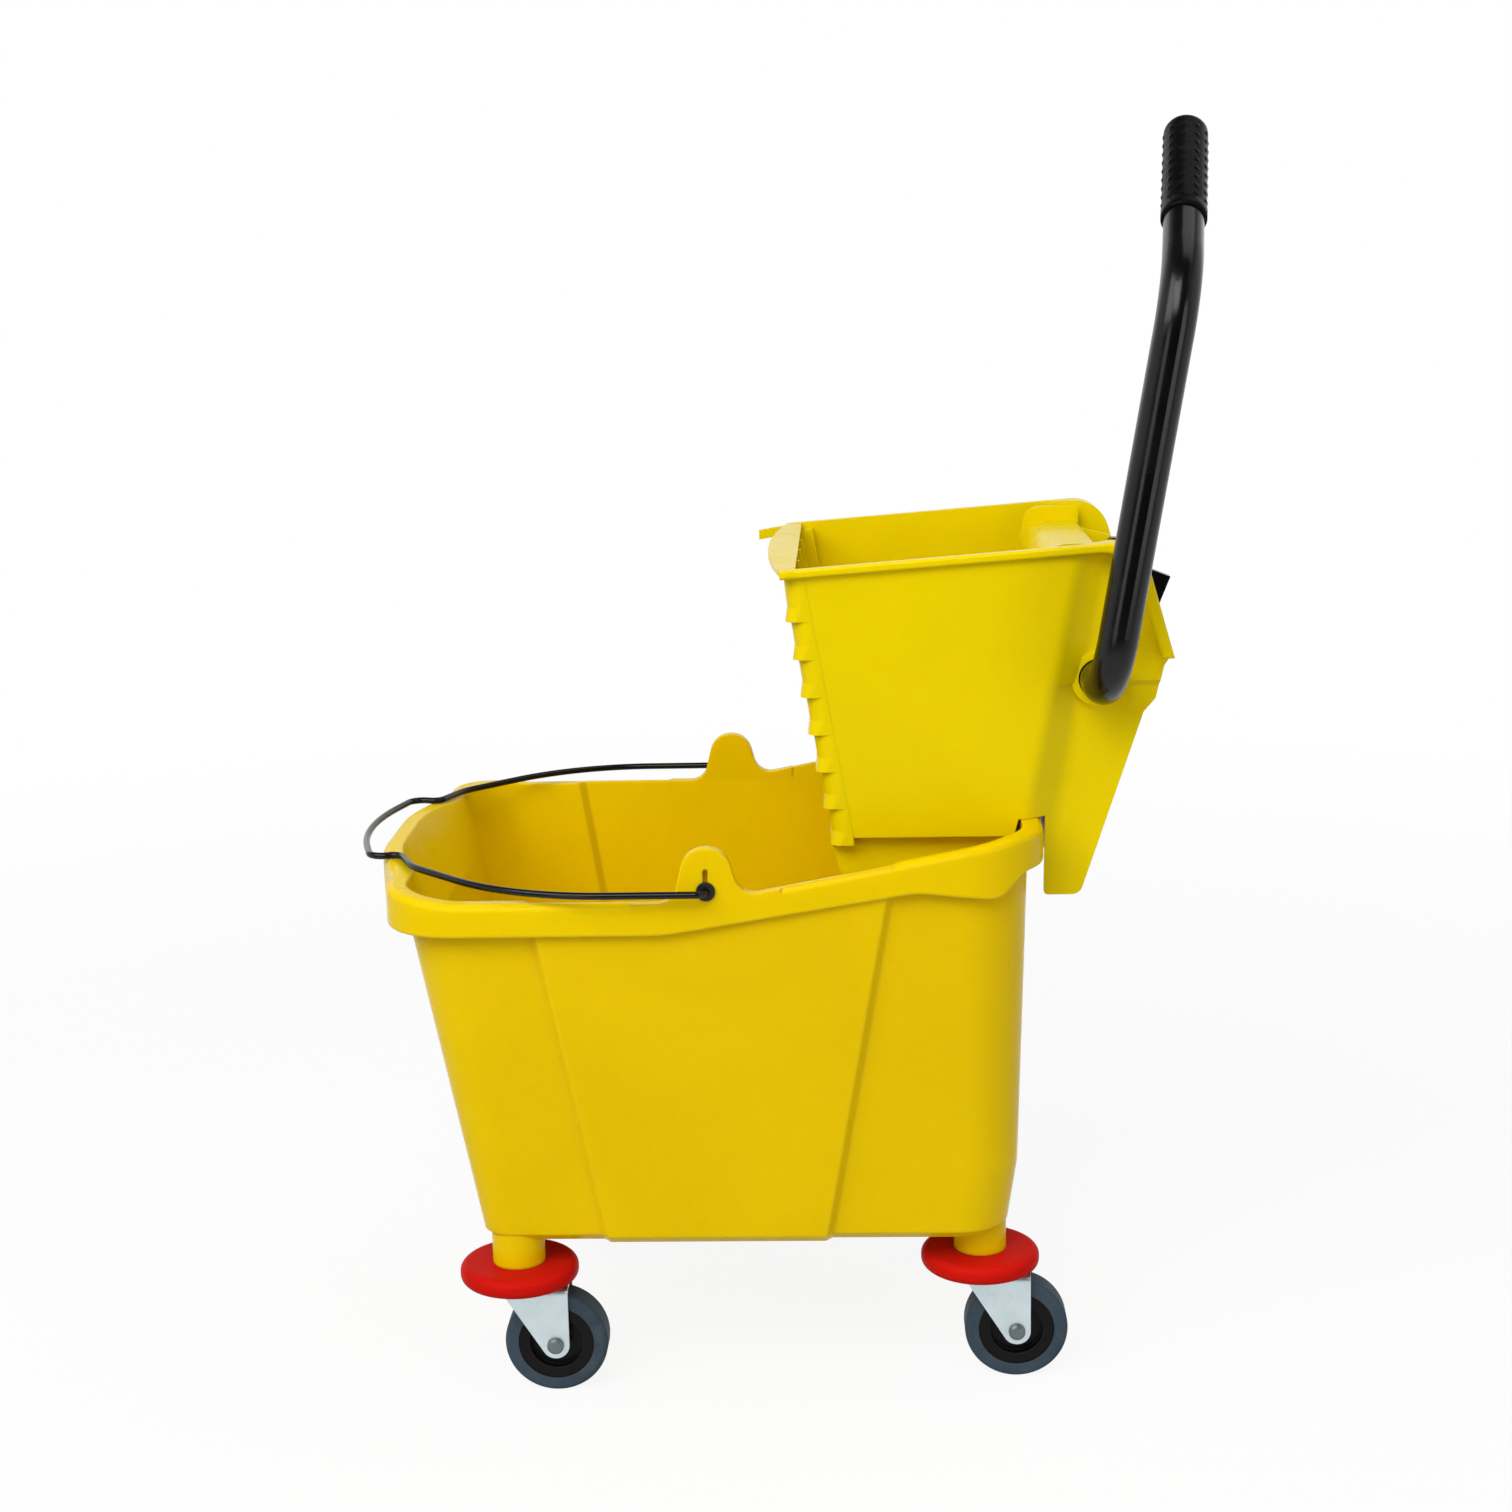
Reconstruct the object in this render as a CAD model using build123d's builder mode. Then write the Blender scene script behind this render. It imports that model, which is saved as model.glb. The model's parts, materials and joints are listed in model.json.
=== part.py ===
"""Mop bucket on four casters with a lever wringer hooked over its rear rim.

Millimetres. The origin is on the floor below the bail's pivot. +X is the wringer end,
-Y the side with the handle, +Z up.
"""

import os
from math import atan2, cos, radians, sin, tan

from build123d import *

os.makedirs("parts", exist_ok=True)

# Fits
fit = 0.05  # radial clearance of a pin, shaft or tube in its hole
run_gap = 0.3  # between faces that move past each other

# Casters
wheel_d = 75.0
wheel_room = 4.0  # from the wheel up to the fork's top plate
tyre_t = 10.0
tyre_w = 24.0
tyre_edge_r = 4.0
hub_w = 22.0
hub_recess_d = 39.0
hub_recess = 6.0
hub_boss_d = 22.0
axle_d = 8.0
axle_head_d = 12.0
axle_head_t = 3.5
nut_flats = 13.0
nut_t = 6.0
axle_tail = 2.0  # bolt standing out of its nut
sleeve_t = 2.0
trail = 26.0
fork_gap = 27.0
fork_t = 2.5
fork_lead = 12.0  # fork ahead of its swivel axis
fork_end_r = 10.0
fork_bend_r = 3.0
race_d = 40.0
race_t = 2.2
stem_d = 12.0
stem_head_d = 20.0
stem_head_t = 3.5
stem_l = 33.0  # above the bumper
bumper_d = 86.0
bumper_t = 14.0
bumper_edge_r = 6.0
socket_d = 38.0
socket_l = 21.0
socket_roof = 5.0  # plastic over the end of a stem
front_socket_back = 23.0  # front swivel axes behind the tub's front
rear_socket_in = 39.0  # rear swivel axes in from the tub's sides

# Tub
wall = 4.0
tub_h = 262.0  # outside, bottom to side rim
floor_front = -169.5
floor_rear = 208.0
floor_half = 155.0
rim_front = -216.0
rim_rear = 220.5
rim_half = 186.0
knee_h = 51.0  # up to where the rear wall turns upright
knee_rear = 215.5
low_edge = 6.0  # bevel round the bottom
front_r_low = 22.0
front_r_rim = 42.0
rear_r_low = 36.0
rear_r_rim = 46.0
bow_low = 3.0  # front wall's middle stands forward by this at the bottom
bow_spout = 5.0  # and where the spout starts
bow_lip = 21.0  # and at the lip
spout_h = 215.0
spout_top_share = 0.30  # half width of the spout's nose, of the tub's half width
spout_foot_share = 0.61  # and where it leaves the front wall
spout_nose_run = 0.15  # length of the nose's rounding along its side, as a share too
spout_foot_run = 0.08
panel_out = 6.0  # side panels stand this far out
panel_slope = 5.0  # width of their sloping edges
panel_front_low = -77.0
panel_front_rim = -122.0
panel_rear_low = 77.0
panel_rear_rim = 122.0

# Rim
band_out = 10.0
rear_band_out = 11.5
band_top_r = 5.0
band_low_r = 2.0
band_t = 3.0
cap_t = 4.0
band_h = 23.0
rear_band_h = 25.0
lip_rise = 6.0
lip_run = 55.0  # along X, from the rim's level to the lip's
rear_rise = 40.0
rise_start = 0.0  # X where the rim starts to climb
rise_end = 205.0
lip_r = 60.0  # roundings of the rim's line, seen from the side
rise_r = 150.0
rise_end_r = 60.0
dip_start = 30.0  # band's lower edge starts to climb this far ahead of the rim
dip_top = 62.0  # its high point, ahead of the end of the rim's climb
dip_top_h = 28.0  # above the band's lower edge at the front
dip_end = 6.0
dip_end_h = 22.0
rear_step = 12.0  # behind the end of the rim's climb, the edge is at its rear height
dip_start_r = 120.0
dip_r = 60.0
dip_end_r = 14.0
rear_step_r = 10.0

# Ears and bail
ear_above = 29.8  # from pivot to top
ear_top_w = 27.0
ear_foot_w = 46.0
ear_t = 8.0
ear_web = 2.0  # left behind the bail's bush
ear_round = 16.8
ear_foot_r = 14.0
wire_d = 5.0
bush_d = 9.0
bush_flange_d = 13.0
bush_flange_t = 2.0
key_slot_w = 3.5
key_slot_h = 15.0
bail_stand = 9.5  # wire's middle out from the ear
bail_corner_r = 7.0
bail_sweep_r = 150.0
bail_corner = 131.0  # pivot to where the arms turn inwards, without the sweep
bail_knee = 213.0  # pivot to the bend before the hand loop
bail_knee_half = 121.0
bail_knee_r = 60.0
bail_neck = 228.0  # pivot to the hand loop's neck
bail_neck_half = 84.0
bail_loop = 248.0  # pivot to the loop's outer corners
bail_loop_half = 93.0
bail_peak = 273.0  # pivot to where the loop's sides would meet without its rounding
bail_neck_r = 8.0
bail_loop_r = 11.0
bail_nose_r = 240.0

# Wringer
wr_h = 178.4  # seat on the rear rim up to the front of its own rim
wr_half = 142.0  # half width at that height
wr_draft = 0.063
wr_wall = 3.5
wr_rim_slope = 0.07
wr_front = 164.0  # side walls' top front corner ahead of the rear rim
wr_front_low = 131.0
wr_skirt = 12.0  # side walls below the seat
wr_back_top = 65.0  # behind the rear rim, from here on
wr_back_lip = 89.0
wr_back_lip_h = 114.0
wr_back_step = 5.0  # step below the lip: in from it
wr_back_step_h = 8.0  # and below it
wr_back_mid = 71.0
wr_back_mid_h = 73.0
leg_gap = 3.0
leg_depth = 60.0
leg_back = 25.5
leg_r = 8.0
wr_corner_r = 27.0
wr_edge_r = 3.0
wr_mid_r = 6.0
wr_mid_step = 8.0  # step in the rear edge: out from the leg
wr_mid_step_h = 9.5  # and up
fold_front_top = 22.0  # fold in the side walls, behind the rear rim at the wringer's rim height
fold_slope = 0.185  # its lean
fold_w = 22.0
fold_r = 16.0
fold_in = 14.0  # side walls behind the fold, in from those ahead of it
crease_h = 96.0  # above the seat: the walls step in again below this
crease_drop = 4.0
leg_in = 17.0  # and are then in by this
bead_h = 6.5
bead_r = 2.0
bead_out = 5.0
flange_t = 3.5
flange_front = 179.5  # flange ends ahead of the rear rim
flange_bow = 11.5
flange_w = 10.5  # at the ends
flange_r = 6.0
hook_l = 23.5  # horn ahead of the flange's end
hook_drop = 5.5
hook_t = 5.0
hook_h = 7.3
trough_depth = 59.0
trough_in = 12.0  # trough's sides in from the side walls
trough_t = 3.2
trough_front = 146.0
trough_front_low = 135.0
trough_front_h = 21.0  # trough's front edge below the seat
trough_r = 14.0
trough_back_gap = 20.0  # trough's rear face ahead of the rear rim's back
saddle_ramp = 3.0  # slope of the side walls' lower edge at the rim
saddle_lead = 1.0  # seat ahead of the rim's inner face
drain_count = 9
drain_l = 72.0
drain_w = 7.0
drain_pitch = 23.0

# Louvred front
louvre_count = 7
louvre_pitch = 26.7
louvre_first = 36.0  # first lower edge below the wringer's rim
louvre_step = 4.78
louvre_rib_in = 6.0  # ribs behind the line of the slats' lower edges
louvre_t = 3.5
louvre_side_t = 6.0
louvre_side_gap = 0.05  # sides of the slats, in from the walls' outside
louvre_waist = 1.5  # hollow of a slat's face behind its lower edge
louvre_waist_h = 10.0
louvre_crest = 1.0  # slat's upper edge ahead of its lower one
louvre_low_r = 8.0  # rounding of the slats' ends in plan
louvre_waist_r = 11.0
louvre_crest_r = 13.0
louvre_slit = 4.0
louvre_slit_in = 26.0
louvre_ahead = 176.4  # first lower edge ahead of the rear rim
louvre_side_in = 16.0
louvre_rib_t = 4.0
louvre_rib_depth = 9.0
louvre_rib_pitch = 60.0
return_t = 3.0
return_gap = 0.2

# Handle and press
shaft_back = 39.0  # shaft axis behind the rear rim
shaft_h = 98.2  # and above the seat
tube_d = 26.9
tube_t = 2.0
bush_wall = 3.0
shaft_boss_d = 38.0
shaft_boss_t = 11.0
shaft_boss_out = 4.0  # from the side wall to the boss's face
shaft_boss_lip = 3.0  # covers the bush's outer end
shaft_lip_gap = 0.6  # round the tube
elbow_r = 40.0
upright_out = 61.0  # upright's axis out from the boss's face
handle_lean = 9.5
upright_l = 270.1
bend_deg = 49.0
bend_r = 70.0
hand_l = 153.0  # bend to the end of the tube
grip_d = 31.6
grip_l = 90.0
grip_cap = 7.0  # rubber past the tube's end
grip_round = 10.0
grip_collar_d = 30.6
grip_collar_l = 9.0
end_cap_d = 30.0
end_cap_t = 3.0
end_cap_l = 8.0
lever_deg = 21.5
lever_l = 79.5
lever_w = 26.0
lever_t = 10.0
lever_hub_d = 40.0
lever_in = 34.0  # levers' middles in from the shaft's bosses
lever_bolt_d = 8.0
lever_bolt_head = 5.5
lever_bolt_flats = 13.0
lever_pad_w = 16.0
lever_tip_r = 6.0
lever_bolt_in = 3.0  # past the tube's wall
plate_pin_d = 8.0
plate_pin_head_d = 12.0
plate_pin_head_t = 2.5
plate_pin_up = 26.0  # pin above the trough's underside
plate_pin_in = 14.0  # pin ahead of the trough's rear face
plate_t = 3.2
plate_ahead = 3.4  # plate's face ahead of its pin
plate_back_r = 5.0
plate_lean = 11.0
plate_round = 20.0
plate_end_r = 13.0
plate_top_d = 41.0  # front to back across the top
plate_top_down = 0.0  # end walls' top below the wringer's rim line
plate_sunk = 11.0  # plate's top below that of its end walls
plate_gap = 2.5  # to the wringer's side walls
plate_barrel_d = 18.0
plate_lip = 10.0
plate_end_w = 5.0  # end walls at their foot
plate_clear = 25.0  # round the shaft
plate_barrel_gap = 2.8  # to the trough's walls
rib_t = 5.0
rib_low = 28.0  # ribs' contact edge, from the shaft
rib_drop = 9.5
rib_gap = 0.6  # ribs ahead of the levers
cover_t = 3.0
cover_in = 1.0
cover_low_h = 7.0
cover_shelf = 12.0  # its lower end turns forward by this
hook_end_h = 34.0  # hook plate's end above the legs' ends
screw_d = 4.0
screw_head_d = 8.0
screw_head_t = 2.5
screw_l = 22.0
screw_boss_d = 10.0
screw_pad_d = 13.0
screw_pitch = 80.0
screw_h = 40.0  # screws above the legs' ends
screw_boss_l = 24.0
screw_pad_l = 13.0

# Heights that follow from the stack of parts
axle_z = wheel_d / 2
fork_low = wheel_d + wheel_room
fork_high = fork_low + fork_t
race_low = fork_high + run_gap
bumper_low = race_low + race_t
bumper_high = bumper_low + bumper_t
tub_low = bumper_high + socket_l
rim_z = tub_low + tub_h
lip_z = rim_z + lip_rise
rear_rim_z = rim_z + rear_rise
seat_z = rear_rim_z + run_gap
pivot_z = lip_z + run_gap + wire_d / 2
wr_rim_z = seat_z + wr_h
rim_back = rim_rear + rear_band_out
past = 400.0  # half length of a cutting shape that has to reach right across


def blend(low, high, z):
    """Value at height z of a size that changes evenly from the tub's bottom to its side rim."""
    return low + (high - low) * (z - tub_low) / tub_h


def tub_rear(z):
    """X of the rear wall's outside: sloped up to the knee, then nearly upright."""
    knee = tub_low + knee_h
    if z <= knee:
        return floor_rear + (knee_rear - floor_rear) * (z - tub_low) / knee_h
    return knee_rear + (rim_rear - knee_rear) * (z - knee) / (tub_h - knee_h)


def tub_bow(z):
    """Forward bow of the front wall, which opens into the spout near the rim."""
    spout_z = tub_low + spout_h
    if z <= spout_z:
        return bow_low + (bow_spout - bow_low) * (z - tub_low) / spout_h
    return bow_spout + (bow_lip - bow_spout) * (z - spout_z) / (lip_z - spout_z)


def draw_plan(z, front, rear, half, bow, front_r, rear_r, steps):
    """Sketch a plan outline at height z. Steps are (x, outward) corners along each side."""
    nose = front - bow
    side = [
        (nose, 0),
        (nose, spout_top_share * half),
        (front, spout_foot_share * half),
        (front, half),
        *[(x, half + out) for x, out in steps],
        (rear, half),
        (rear, 0),
    ]
    turn = atan2(bow, (spout_foot_share - spout_top_share) * half)
    nose_r = spout_nose_run * half / tan(turn / 2)
    foot_r = spout_foot_run * half / tan(turn / 2)
    rounding = [nose_r, foot_r, front_r, *[0] * len(steps), rear_r]
    with BuildSketch(Plane.XY.offset(z)) as plan:
        with BuildLine():
            FilletPolyline(*side, radius=rounding)
            FilletPolyline(*[(x, -y) for x, y in side], radius=rounding)
        make_face()
    return plan.sketch


def tub_section(z, inset):
    """One level of the tub's wall, inset from its outside."""
    front_edge = blend(panel_front_low, panel_front_rim, z)
    rear_edge = blend(panel_rear_low, panel_rear_rim, z)
    return draw_plan(
        z,
        blend(floor_front, rim_front, z) + inset,
        tub_rear(z) - inset,
        blend(floor_half, rim_half, z) - inset,
        tub_bow(z),
        blend(front_r_low, front_r_rim, z) - inset,
        blend(rear_r_low, rear_r_rim, z) - inset,
        [
            (front_edge - panel_slope, 0),
            (front_edge, panel_out),
            (rear_edge, panel_out),
            (rear_edge + panel_slope, 0),
        ],
    )


def rim_outline(z, inset):
    """The rim band's plan, which follows the wall at the lip."""
    return draw_plan(
        z,
        blend(floor_front, rim_front, lip_z) - band_out + inset,
        rim_back - inset,
        rim_half + band_out - inset,
        bow_lip,
        front_r_rim + band_out - inset,
        rear_r_rim + band_out - inset,
        [],
    )


def rim_line(drop):
    """The wavy line of the rim, seen from the side, lowered by drop."""
    lip_end = rim_front - band_out
    points = [
        (-past, lip_z - drop),
        (lip_end, lip_z - drop),
        (lip_end + lip_run, rim_z - drop),
        (rise_start, rim_z - drop),
        (rise_end, rear_rim_z - drop),
        (past, rear_rim_z - drop),
    ]
    FilletPolyline(*points, radius=[lip_r, lip_r, rise_r, rise_end_r])


def band_line():
    """The rim band's lower edge, which dips before it steps up round the rear."""
    low = rim_z - band_h
    rear_low = rear_rim_z - rear_band_h
    points = [
        (-past, low),
        (rise_start - dip_start, low),
        (rise_end - dip_top, low + dip_top_h),
        (rise_end - dip_end, low + dip_end_h),
        (rise_end + rear_step, rear_low),
        (past, rear_low),
    ]
    FilletPolyline(*points, radius=[dip_start_r, dip_r, dip_end_r, rear_step_r])


def side_region(line, edge_z):
    """Fill between a line seen from the side and a level, right across the tub."""
    with BuildSketch(Plane.XZ) as region:
        with BuildLine() as border:
            line()
            ends = border.line @ 0, border.line @ 1
            Polyline(ends[1], (past, edge_z), (-past, edge_z), ends[0])
        make_face()
    return region.sketch


def side_edges(solid, way):
    """Edges where a solid's upright faces meet those that look up (way 1) or down (way -1)."""
    upright = solid.faces().filter_by(lambda face: abs(face.normal_at().Z) < 0.1)
    ends = solid.faces().filter_by(lambda face: way * face.normal_at().Z > 0.5)
    return upright.edges() & ends.edges()


# Tub: the outside, the inside and the rim are lofted or cut apart, then joined
section_top = rear_rim_z + band_out
knee_z = tub_low + knee_h
spout_z = tub_low + spout_h
over_rim = side_region(lambda: rim_line(0), section_top + past)

with BuildPart() as tub_outside:
    levels = [tub_section(tub_low, low_edge)]
    levels += [tub_section(z, 0) for z in (tub_low + low_edge, knee_z, spout_z, section_top)]
    loft(levels, ruled=True)
    extrude(over_rim, amount=past, both=True, mode=Mode.SUBTRACT)

with BuildPart() as tub_inside:
    levels = [tub_section(tub_low + wall, wall + low_edge)]
    levels += [tub_section(z, wall) for z in (tub_low + wall + low_edge, knee_z, spout_z, section_top)]
    loft(levels, ruled=True)

with BuildPart() as rim_band:
    extrude(rim_outline(tub_low + tub_h / 2, 0), amount=tub_h)
    extrude(over_rim, amount=past, both=True, mode=Mode.SUBTRACT)
    extrude(side_region(band_line, tub_low), amount=past, both=True, mode=Mode.SUBTRACT)
    fillet(side_edges(rim_band, 1), band_top_r)
    fillet(side_edges(rim_band, -1), band_low_r)

with BuildPart() as rim_hollow:
    extrude(rim_outline(tub_low + tub_h / 2, band_t), amount=tub_h)
    under_cap = side_region(lambda: rim_line(cap_t), section_top + past)
    extrude(under_cap, amount=past, both=True, mode=Mode.SUBTRACT)

caster_places = {
    "front_near": (floor_front + front_socket_back, -(floor_half - socket_d / 2)),
    "front_far": (floor_front + front_socket_back, floor_half - socket_d / 2),
    "rear_near": (floor_rear - socket_d / 2, -(floor_half - rear_socket_in)),
    "rear_far": (floor_rear - socket_d / 2, floor_half - rear_socket_in),
}
caster_turns = {"rear_far": 90}  # degrees from trailing towards the rear
stem_top = bumper_high + stem_l
rim_side = rim_half + band_out  # outer face of the rim's sides and of the ears
ear_inner = rim_side - ear_t
ear_top = pivot_z + ear_above
rim_slope = rear_rise / (rise_end - rise_start)

with BuildPart() as bucket_tub:
    add(rim_band.part)
    add(rim_hollow.part, mode=Mode.SUBTRACT)
    add(tub_outside.part)
    # Caster sockets below the floor
    with BuildSketch(Plane.XY.offset(bumper_high)):
        with Locations(*caster_places.values()):
            Circle(socket_d / 2)
    extrude(amount=socket_l + low_edge)
    add(tub_inside.part, mode=Mode.SUBTRACT)
    # Bosses inside, over the ends of the stems
    with BuildSketch(Plane.XY.offset(tub_low + wall / 2)):
        with Locations(*caster_places.values()):
            Circle(stem_d / 2 + socket_roof)
    extrude(amount=stem_top + socket_roof - tub_low - wall / 2)
    with BuildSketch(Plane.XY.offset(bumper_high)):
        with Locations(*caster_places.values()):
            Circle(stem_d / 2 + fit)
    extrude(amount=stem_l + run_gap, mode=Mode.SUBTRACT)
    # Ears, with a keyhole for the bail
    for side in (-1, 1):
        with BuildSketch(Plane.XZ.offset(-side * ear_inner)):
            foot = ear_foot_w / 2
            reach = foot + 2 * ear_foot_r
            with BuildLine():
                FilletPolyline(
                    (-reach, rim_z - cap_t),
                    (-reach, rim_z),
                    (-foot, rim_z),
                    (-ear_top_w / 2, ear_top),
                    (ear_top_w / 2, ear_top),
                    (foot, rim_z + foot * rim_slope),
                    (reach, rim_z + reach * rim_slope),
                    (reach, rim_z - cap_t),
                    radius=[0, ear_foot_r, ear_round, ear_round, ear_foot_r, 0],
                )
                Line((reach, rim_z - cap_t), (-reach, rim_z - cap_t))
            make_face()
        extrude(amount=-side * ear_t)
        with BuildSketch(Plane(origin=(0, side * rim_side, pivot_z), x_dir=(1, 0, 0), z_dir=(0, side, 0))):
            Circle(bush_d / 2 + fit)
            with Locations((0, -side * key_slot_h / 2)):
                SlotOverall(key_slot_h, key_slot_w, rotation=90)
        extrude(amount=ear_web - ear_t, mode=Mode.SUBTRACT)

bucket_tub.part.label = "bucket_tub"
export_step(bucket_tub.part, "parts/bucket_tub.step")

# Bushes for the bail, in blind holes
bush_inner = ear_inner + ear_web
for side, place in ((-1, "near"), (1, "far")):
    outward = Plane(origin=(0, side * bush_inner, pivot_z), z_dir=(0, side, 0))
    with BuildPart() as bail_bush:
        with BuildSketch(outward):
            Circle(bush_d / 2)
        extrude(amount=rim_side - bush_inner)
        with BuildSketch(outward.offset(rim_side - bush_inner)):
            Circle(bush_flange_d / 2)
        extrude(amount=bush_flange_t)
        with BuildSketch(outward):
            Circle(wire_d / 2 + fit)
        extrude(amount=rim_side - bush_inner + bush_flange_t, mode=Mode.SUBTRACT)

    bail_bush.part.label = f"bail_bush_{place}"
    export_step(bail_bush.part, f"parts/bail_bush_{place}.step")

# Bail: one wire bent flat, from pin to pin
arm_half = rim_side + bail_stand
bail_side = [
    (0, bush_inner + run_gap),
    (0, arm_half),
    (-bail_corner, arm_half),
    (-bail_knee, bail_knee_half),
    (-bail_neck, bail_neck_half),
    (-bail_loop, bail_loop_half),
]
bail_bends = [bail_corner_r, bail_sweep_r, bail_knee_r, bail_neck_r, bail_loop_r]

with BuildPart() as bail_wire:
    with BuildLine(Plane.XY.offset(pivot_z)) as wire_route:
        near_side = [(x, -y) for x, y in reversed(bail_side)]
        bends = [*bail_bends, bail_nose_r, *reversed(bail_bends)]
        FilletPolyline(*bail_side, (-bail_peak, 0), *near_side, radius=bends)
    with BuildSketch(Plane(origin=wire_route.line @ 0, z_dir=wire_route.line % 0)):
        Circle(wire_d / 2)
    sweep(path=wire_route.line)

bail_wire.part.label = "bail_wire"
export_step(bail_wire.part, "parts/bail_wire.step")

# Caster, drawn with its swivel axis on Z
stem_head_low = fork_low - run_gap - stem_head_t
fork_side = fork_gap / 2 + fork_t  # outer face of a fork leg
axle_r = axle_d / 2
sleeve_r = axle_r + fit + sleeve_t
hub_r = wheel_d / 2 - tyre_t
axle_plane = Plane(origin=(trail, 0, axle_z), x_dir=(0, 1, 0), z_dir=(1, 0, 0))
axle_line = Axis((trail, 0, axle_z), (0, 1, 0))

with BuildPart() as bumper:
    with BuildSketch(Plane.XY.offset(bumper_low)):
        Circle(bumper_d / 2)
        Circle(stem_d / 2 + fit, mode=Mode.SUBTRACT)
    extrude(amount=bumper_t)
    rounded = bumper.edges().filter_by(GeomType.CIRCLE).sort_by(SortBy.RADIUS)[-2:]
    fillet(rounded, bumper_edge_r)

with BuildPart() as caster_stem:
    with BuildSketch(Plane.XZ):
        with BuildLine():
            Polyline(
                (0, stem_head_low),
                (stem_head_d / 2, stem_head_low),
                (stem_head_d / 2, fork_low - run_gap),
                (stem_d / 2, fork_low - run_gap),
                (stem_d / 2, race_low),
                (race_d / 2, race_low),
                (race_d / 2, bumper_low),
                (stem_d / 2, bumper_low),
                (stem_d / 2, stem_top),
                (0, stem_top),
                close=True,
            )
        make_face()
    revolve(axis=Axis.Z)

with BuildPart() as fork:
    fork_tail = trail + fork_end_r
    with BuildSketch(Plane.XZ):
        with Locations((trail, axle_z)):
            Circle(fork_end_r)
        with Locations(((fork_tail - fork_lead) / 2, fork_low)):
            Rectangle(fork_tail + fork_lead, fork_t, align=(Align.CENTER, Align.MIN))
        make_hull()
    extrude(amount=fork_side, both=True)
    with BuildSketch(Plane.YZ) as fork_outside:
        Rectangle(2 * fork_side, fork_high, align=(Align.CENTER, Align.MIN))
        fillet(fork_outside.vertices().group_by(Axis.Y)[-1], fork_bend_r + fork_t)
    extrude(amount=past, both=True, mode=Mode.INTERSECT)
    with BuildSketch(Plane.YZ) as fork_inside:
        Rectangle(fork_gap, fork_low, align=(Align.CENTER, Align.MIN))
        fillet(fork_inside.vertices().group_by(Axis.Y)[-1], fork_bend_r)
    extrude(amount=past, both=True, mode=Mode.SUBTRACT)
    with BuildSketch(Plane.XZ):
        with Locations((trail, axle_z)):
            Circle(axle_r + fit)
    extrude(amount=past, both=True, mode=Mode.SUBTRACT)
    with BuildSketch(Plane.XY.offset(fork_low)):
        Circle(stem_d / 2 + fit)
    extrude(amount=fork_t, mode=Mode.SUBTRACT)

with BuildPart() as axle_bolt:
    head_end = -fork_side - axle_head_t
    bolt_end = fork_side + nut_t + axle_tail
    dome = axle_head_t / 2
    with BuildSketch(axle_plane):
        with BuildLine():
            Polyline(
                (head_end, 0),
                (head_end, axle_head_d / 2 - dome),
                (head_end + dome, axle_head_d / 2),
                (-fork_side, axle_head_d / 2),
                (-fork_side, axle_r),
                (bolt_end, axle_r),
                (bolt_end, 0),
                close=True,
            )
        make_face()
    revolve(axis=axle_line)

with BuildPart() as axle_nut:
    with BuildSketch(Plane(origin=(trail, fork_side, axle_z), z_dir=(0, 1, 0))):
        RegularPolygon(nut_flats / 2, 6, major_radius=False)
        Circle(axle_r + fit, mode=Mode.SUBTRACT)
    extrude(amount=nut_t)

with BuildPart() as wheel_hub:
    with BuildSketch(axle_plane):
        with BuildLine():
            rim_part = [
                (-hub_w / 2, sleeve_r + fit),
                (-hub_w / 2, hub_boss_d / 2),
                (hub_recess - hub_w / 2, hub_boss_d / 2),
                (hub_recess - hub_w / 2, hub_recess_d / 2),
                (-hub_w / 2, hub_recess_d / 2),
                (-hub_w / 2, hub_r),
            ]
            Polyline(*rim_part, *[(-y, r) for y, r in reversed(rim_part)], close=True)
        make_face()
    revolve(axis=axle_line)

with BuildPart() as tyre:
    with BuildSketch(axle_plane) as tread:
        with BuildLine():
            Polyline(
                (-tyre_w / 2, hub_r + fit),
                (-tyre_w / 2, wheel_d / 2),
                (tyre_w / 2, wheel_d / 2),
                (tyre_w / 2, hub_r + fit),
                close=True,
            )
        make_face()
        fillet(tread.vertices().group_by(Axis.Y)[-1], tyre_edge_r)
    revolve(axis=axle_line)

with BuildPart() as axle_sleeve:
    with BuildSketch(Plane.XZ):
        with Locations((trail, axle_z)):
            Circle(sleeve_r)
            Circle(axle_r + fit, mode=Mode.SUBTRACT)
    extrude(amount=fork_gap / 2 - run_gap, both=True)

caster_pieces = {
    "bumper": bumper,
    "caster_stem": caster_stem,
    "fork": fork,
    "axle_bolt": axle_bolt,
    "axle_nut": axle_nut,
    "wheel_hub": wheel_hub,
    "tyre": tyre,
    "axle_sleeve": axle_sleeve,
}
for place, (x, y) in caster_places.items():
    turn = caster_turns.get(place, 0)
    for name, piece in caster_pieces.items():
        placed = Pos(x, y, 0) * Rot(0, 0, turn) * piece.part
        placed.label = f"{name}_{place}"
        export_step(placed, f"parts/{name}_{place}.step")

# Wringer: lines that its pieces share
flange_x = rim_back - flange_front
wr_low = seat_z - leg_depth
wr_high = wr_rim_z + trough_depth  # above everything of the wringer
ledge_z = seat_z - wr_skirt
ledge_top = ledge_z + wr_wall
trough_low = seat_z - trough_depth
trough_back = rim_back - trough_back_gap
trough_edge_z = seat_z - trough_front_h
trough_front_x = rim_back - trough_front
hook_x = rim_back + leg_gap
hook_back = hook_x + trough_t
shaft_x = rim_back + shaft_back
shaft_z = seat_z + shaft_h
pin_x = trough_back - plate_pin_in
pin_z = trough_low + plate_pin_up
screw_z = wr_low + screw_h
screw_places = [(-screw_pitch, screw_z), (0, screw_z), (screw_pitch, screw_z)]
leg_end = hook_x + leg_back
mid_x = rim_back + wr_back_mid
mid_z = seat_z + wr_back_mid_h
crease_z = seat_z + crease_h


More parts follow.
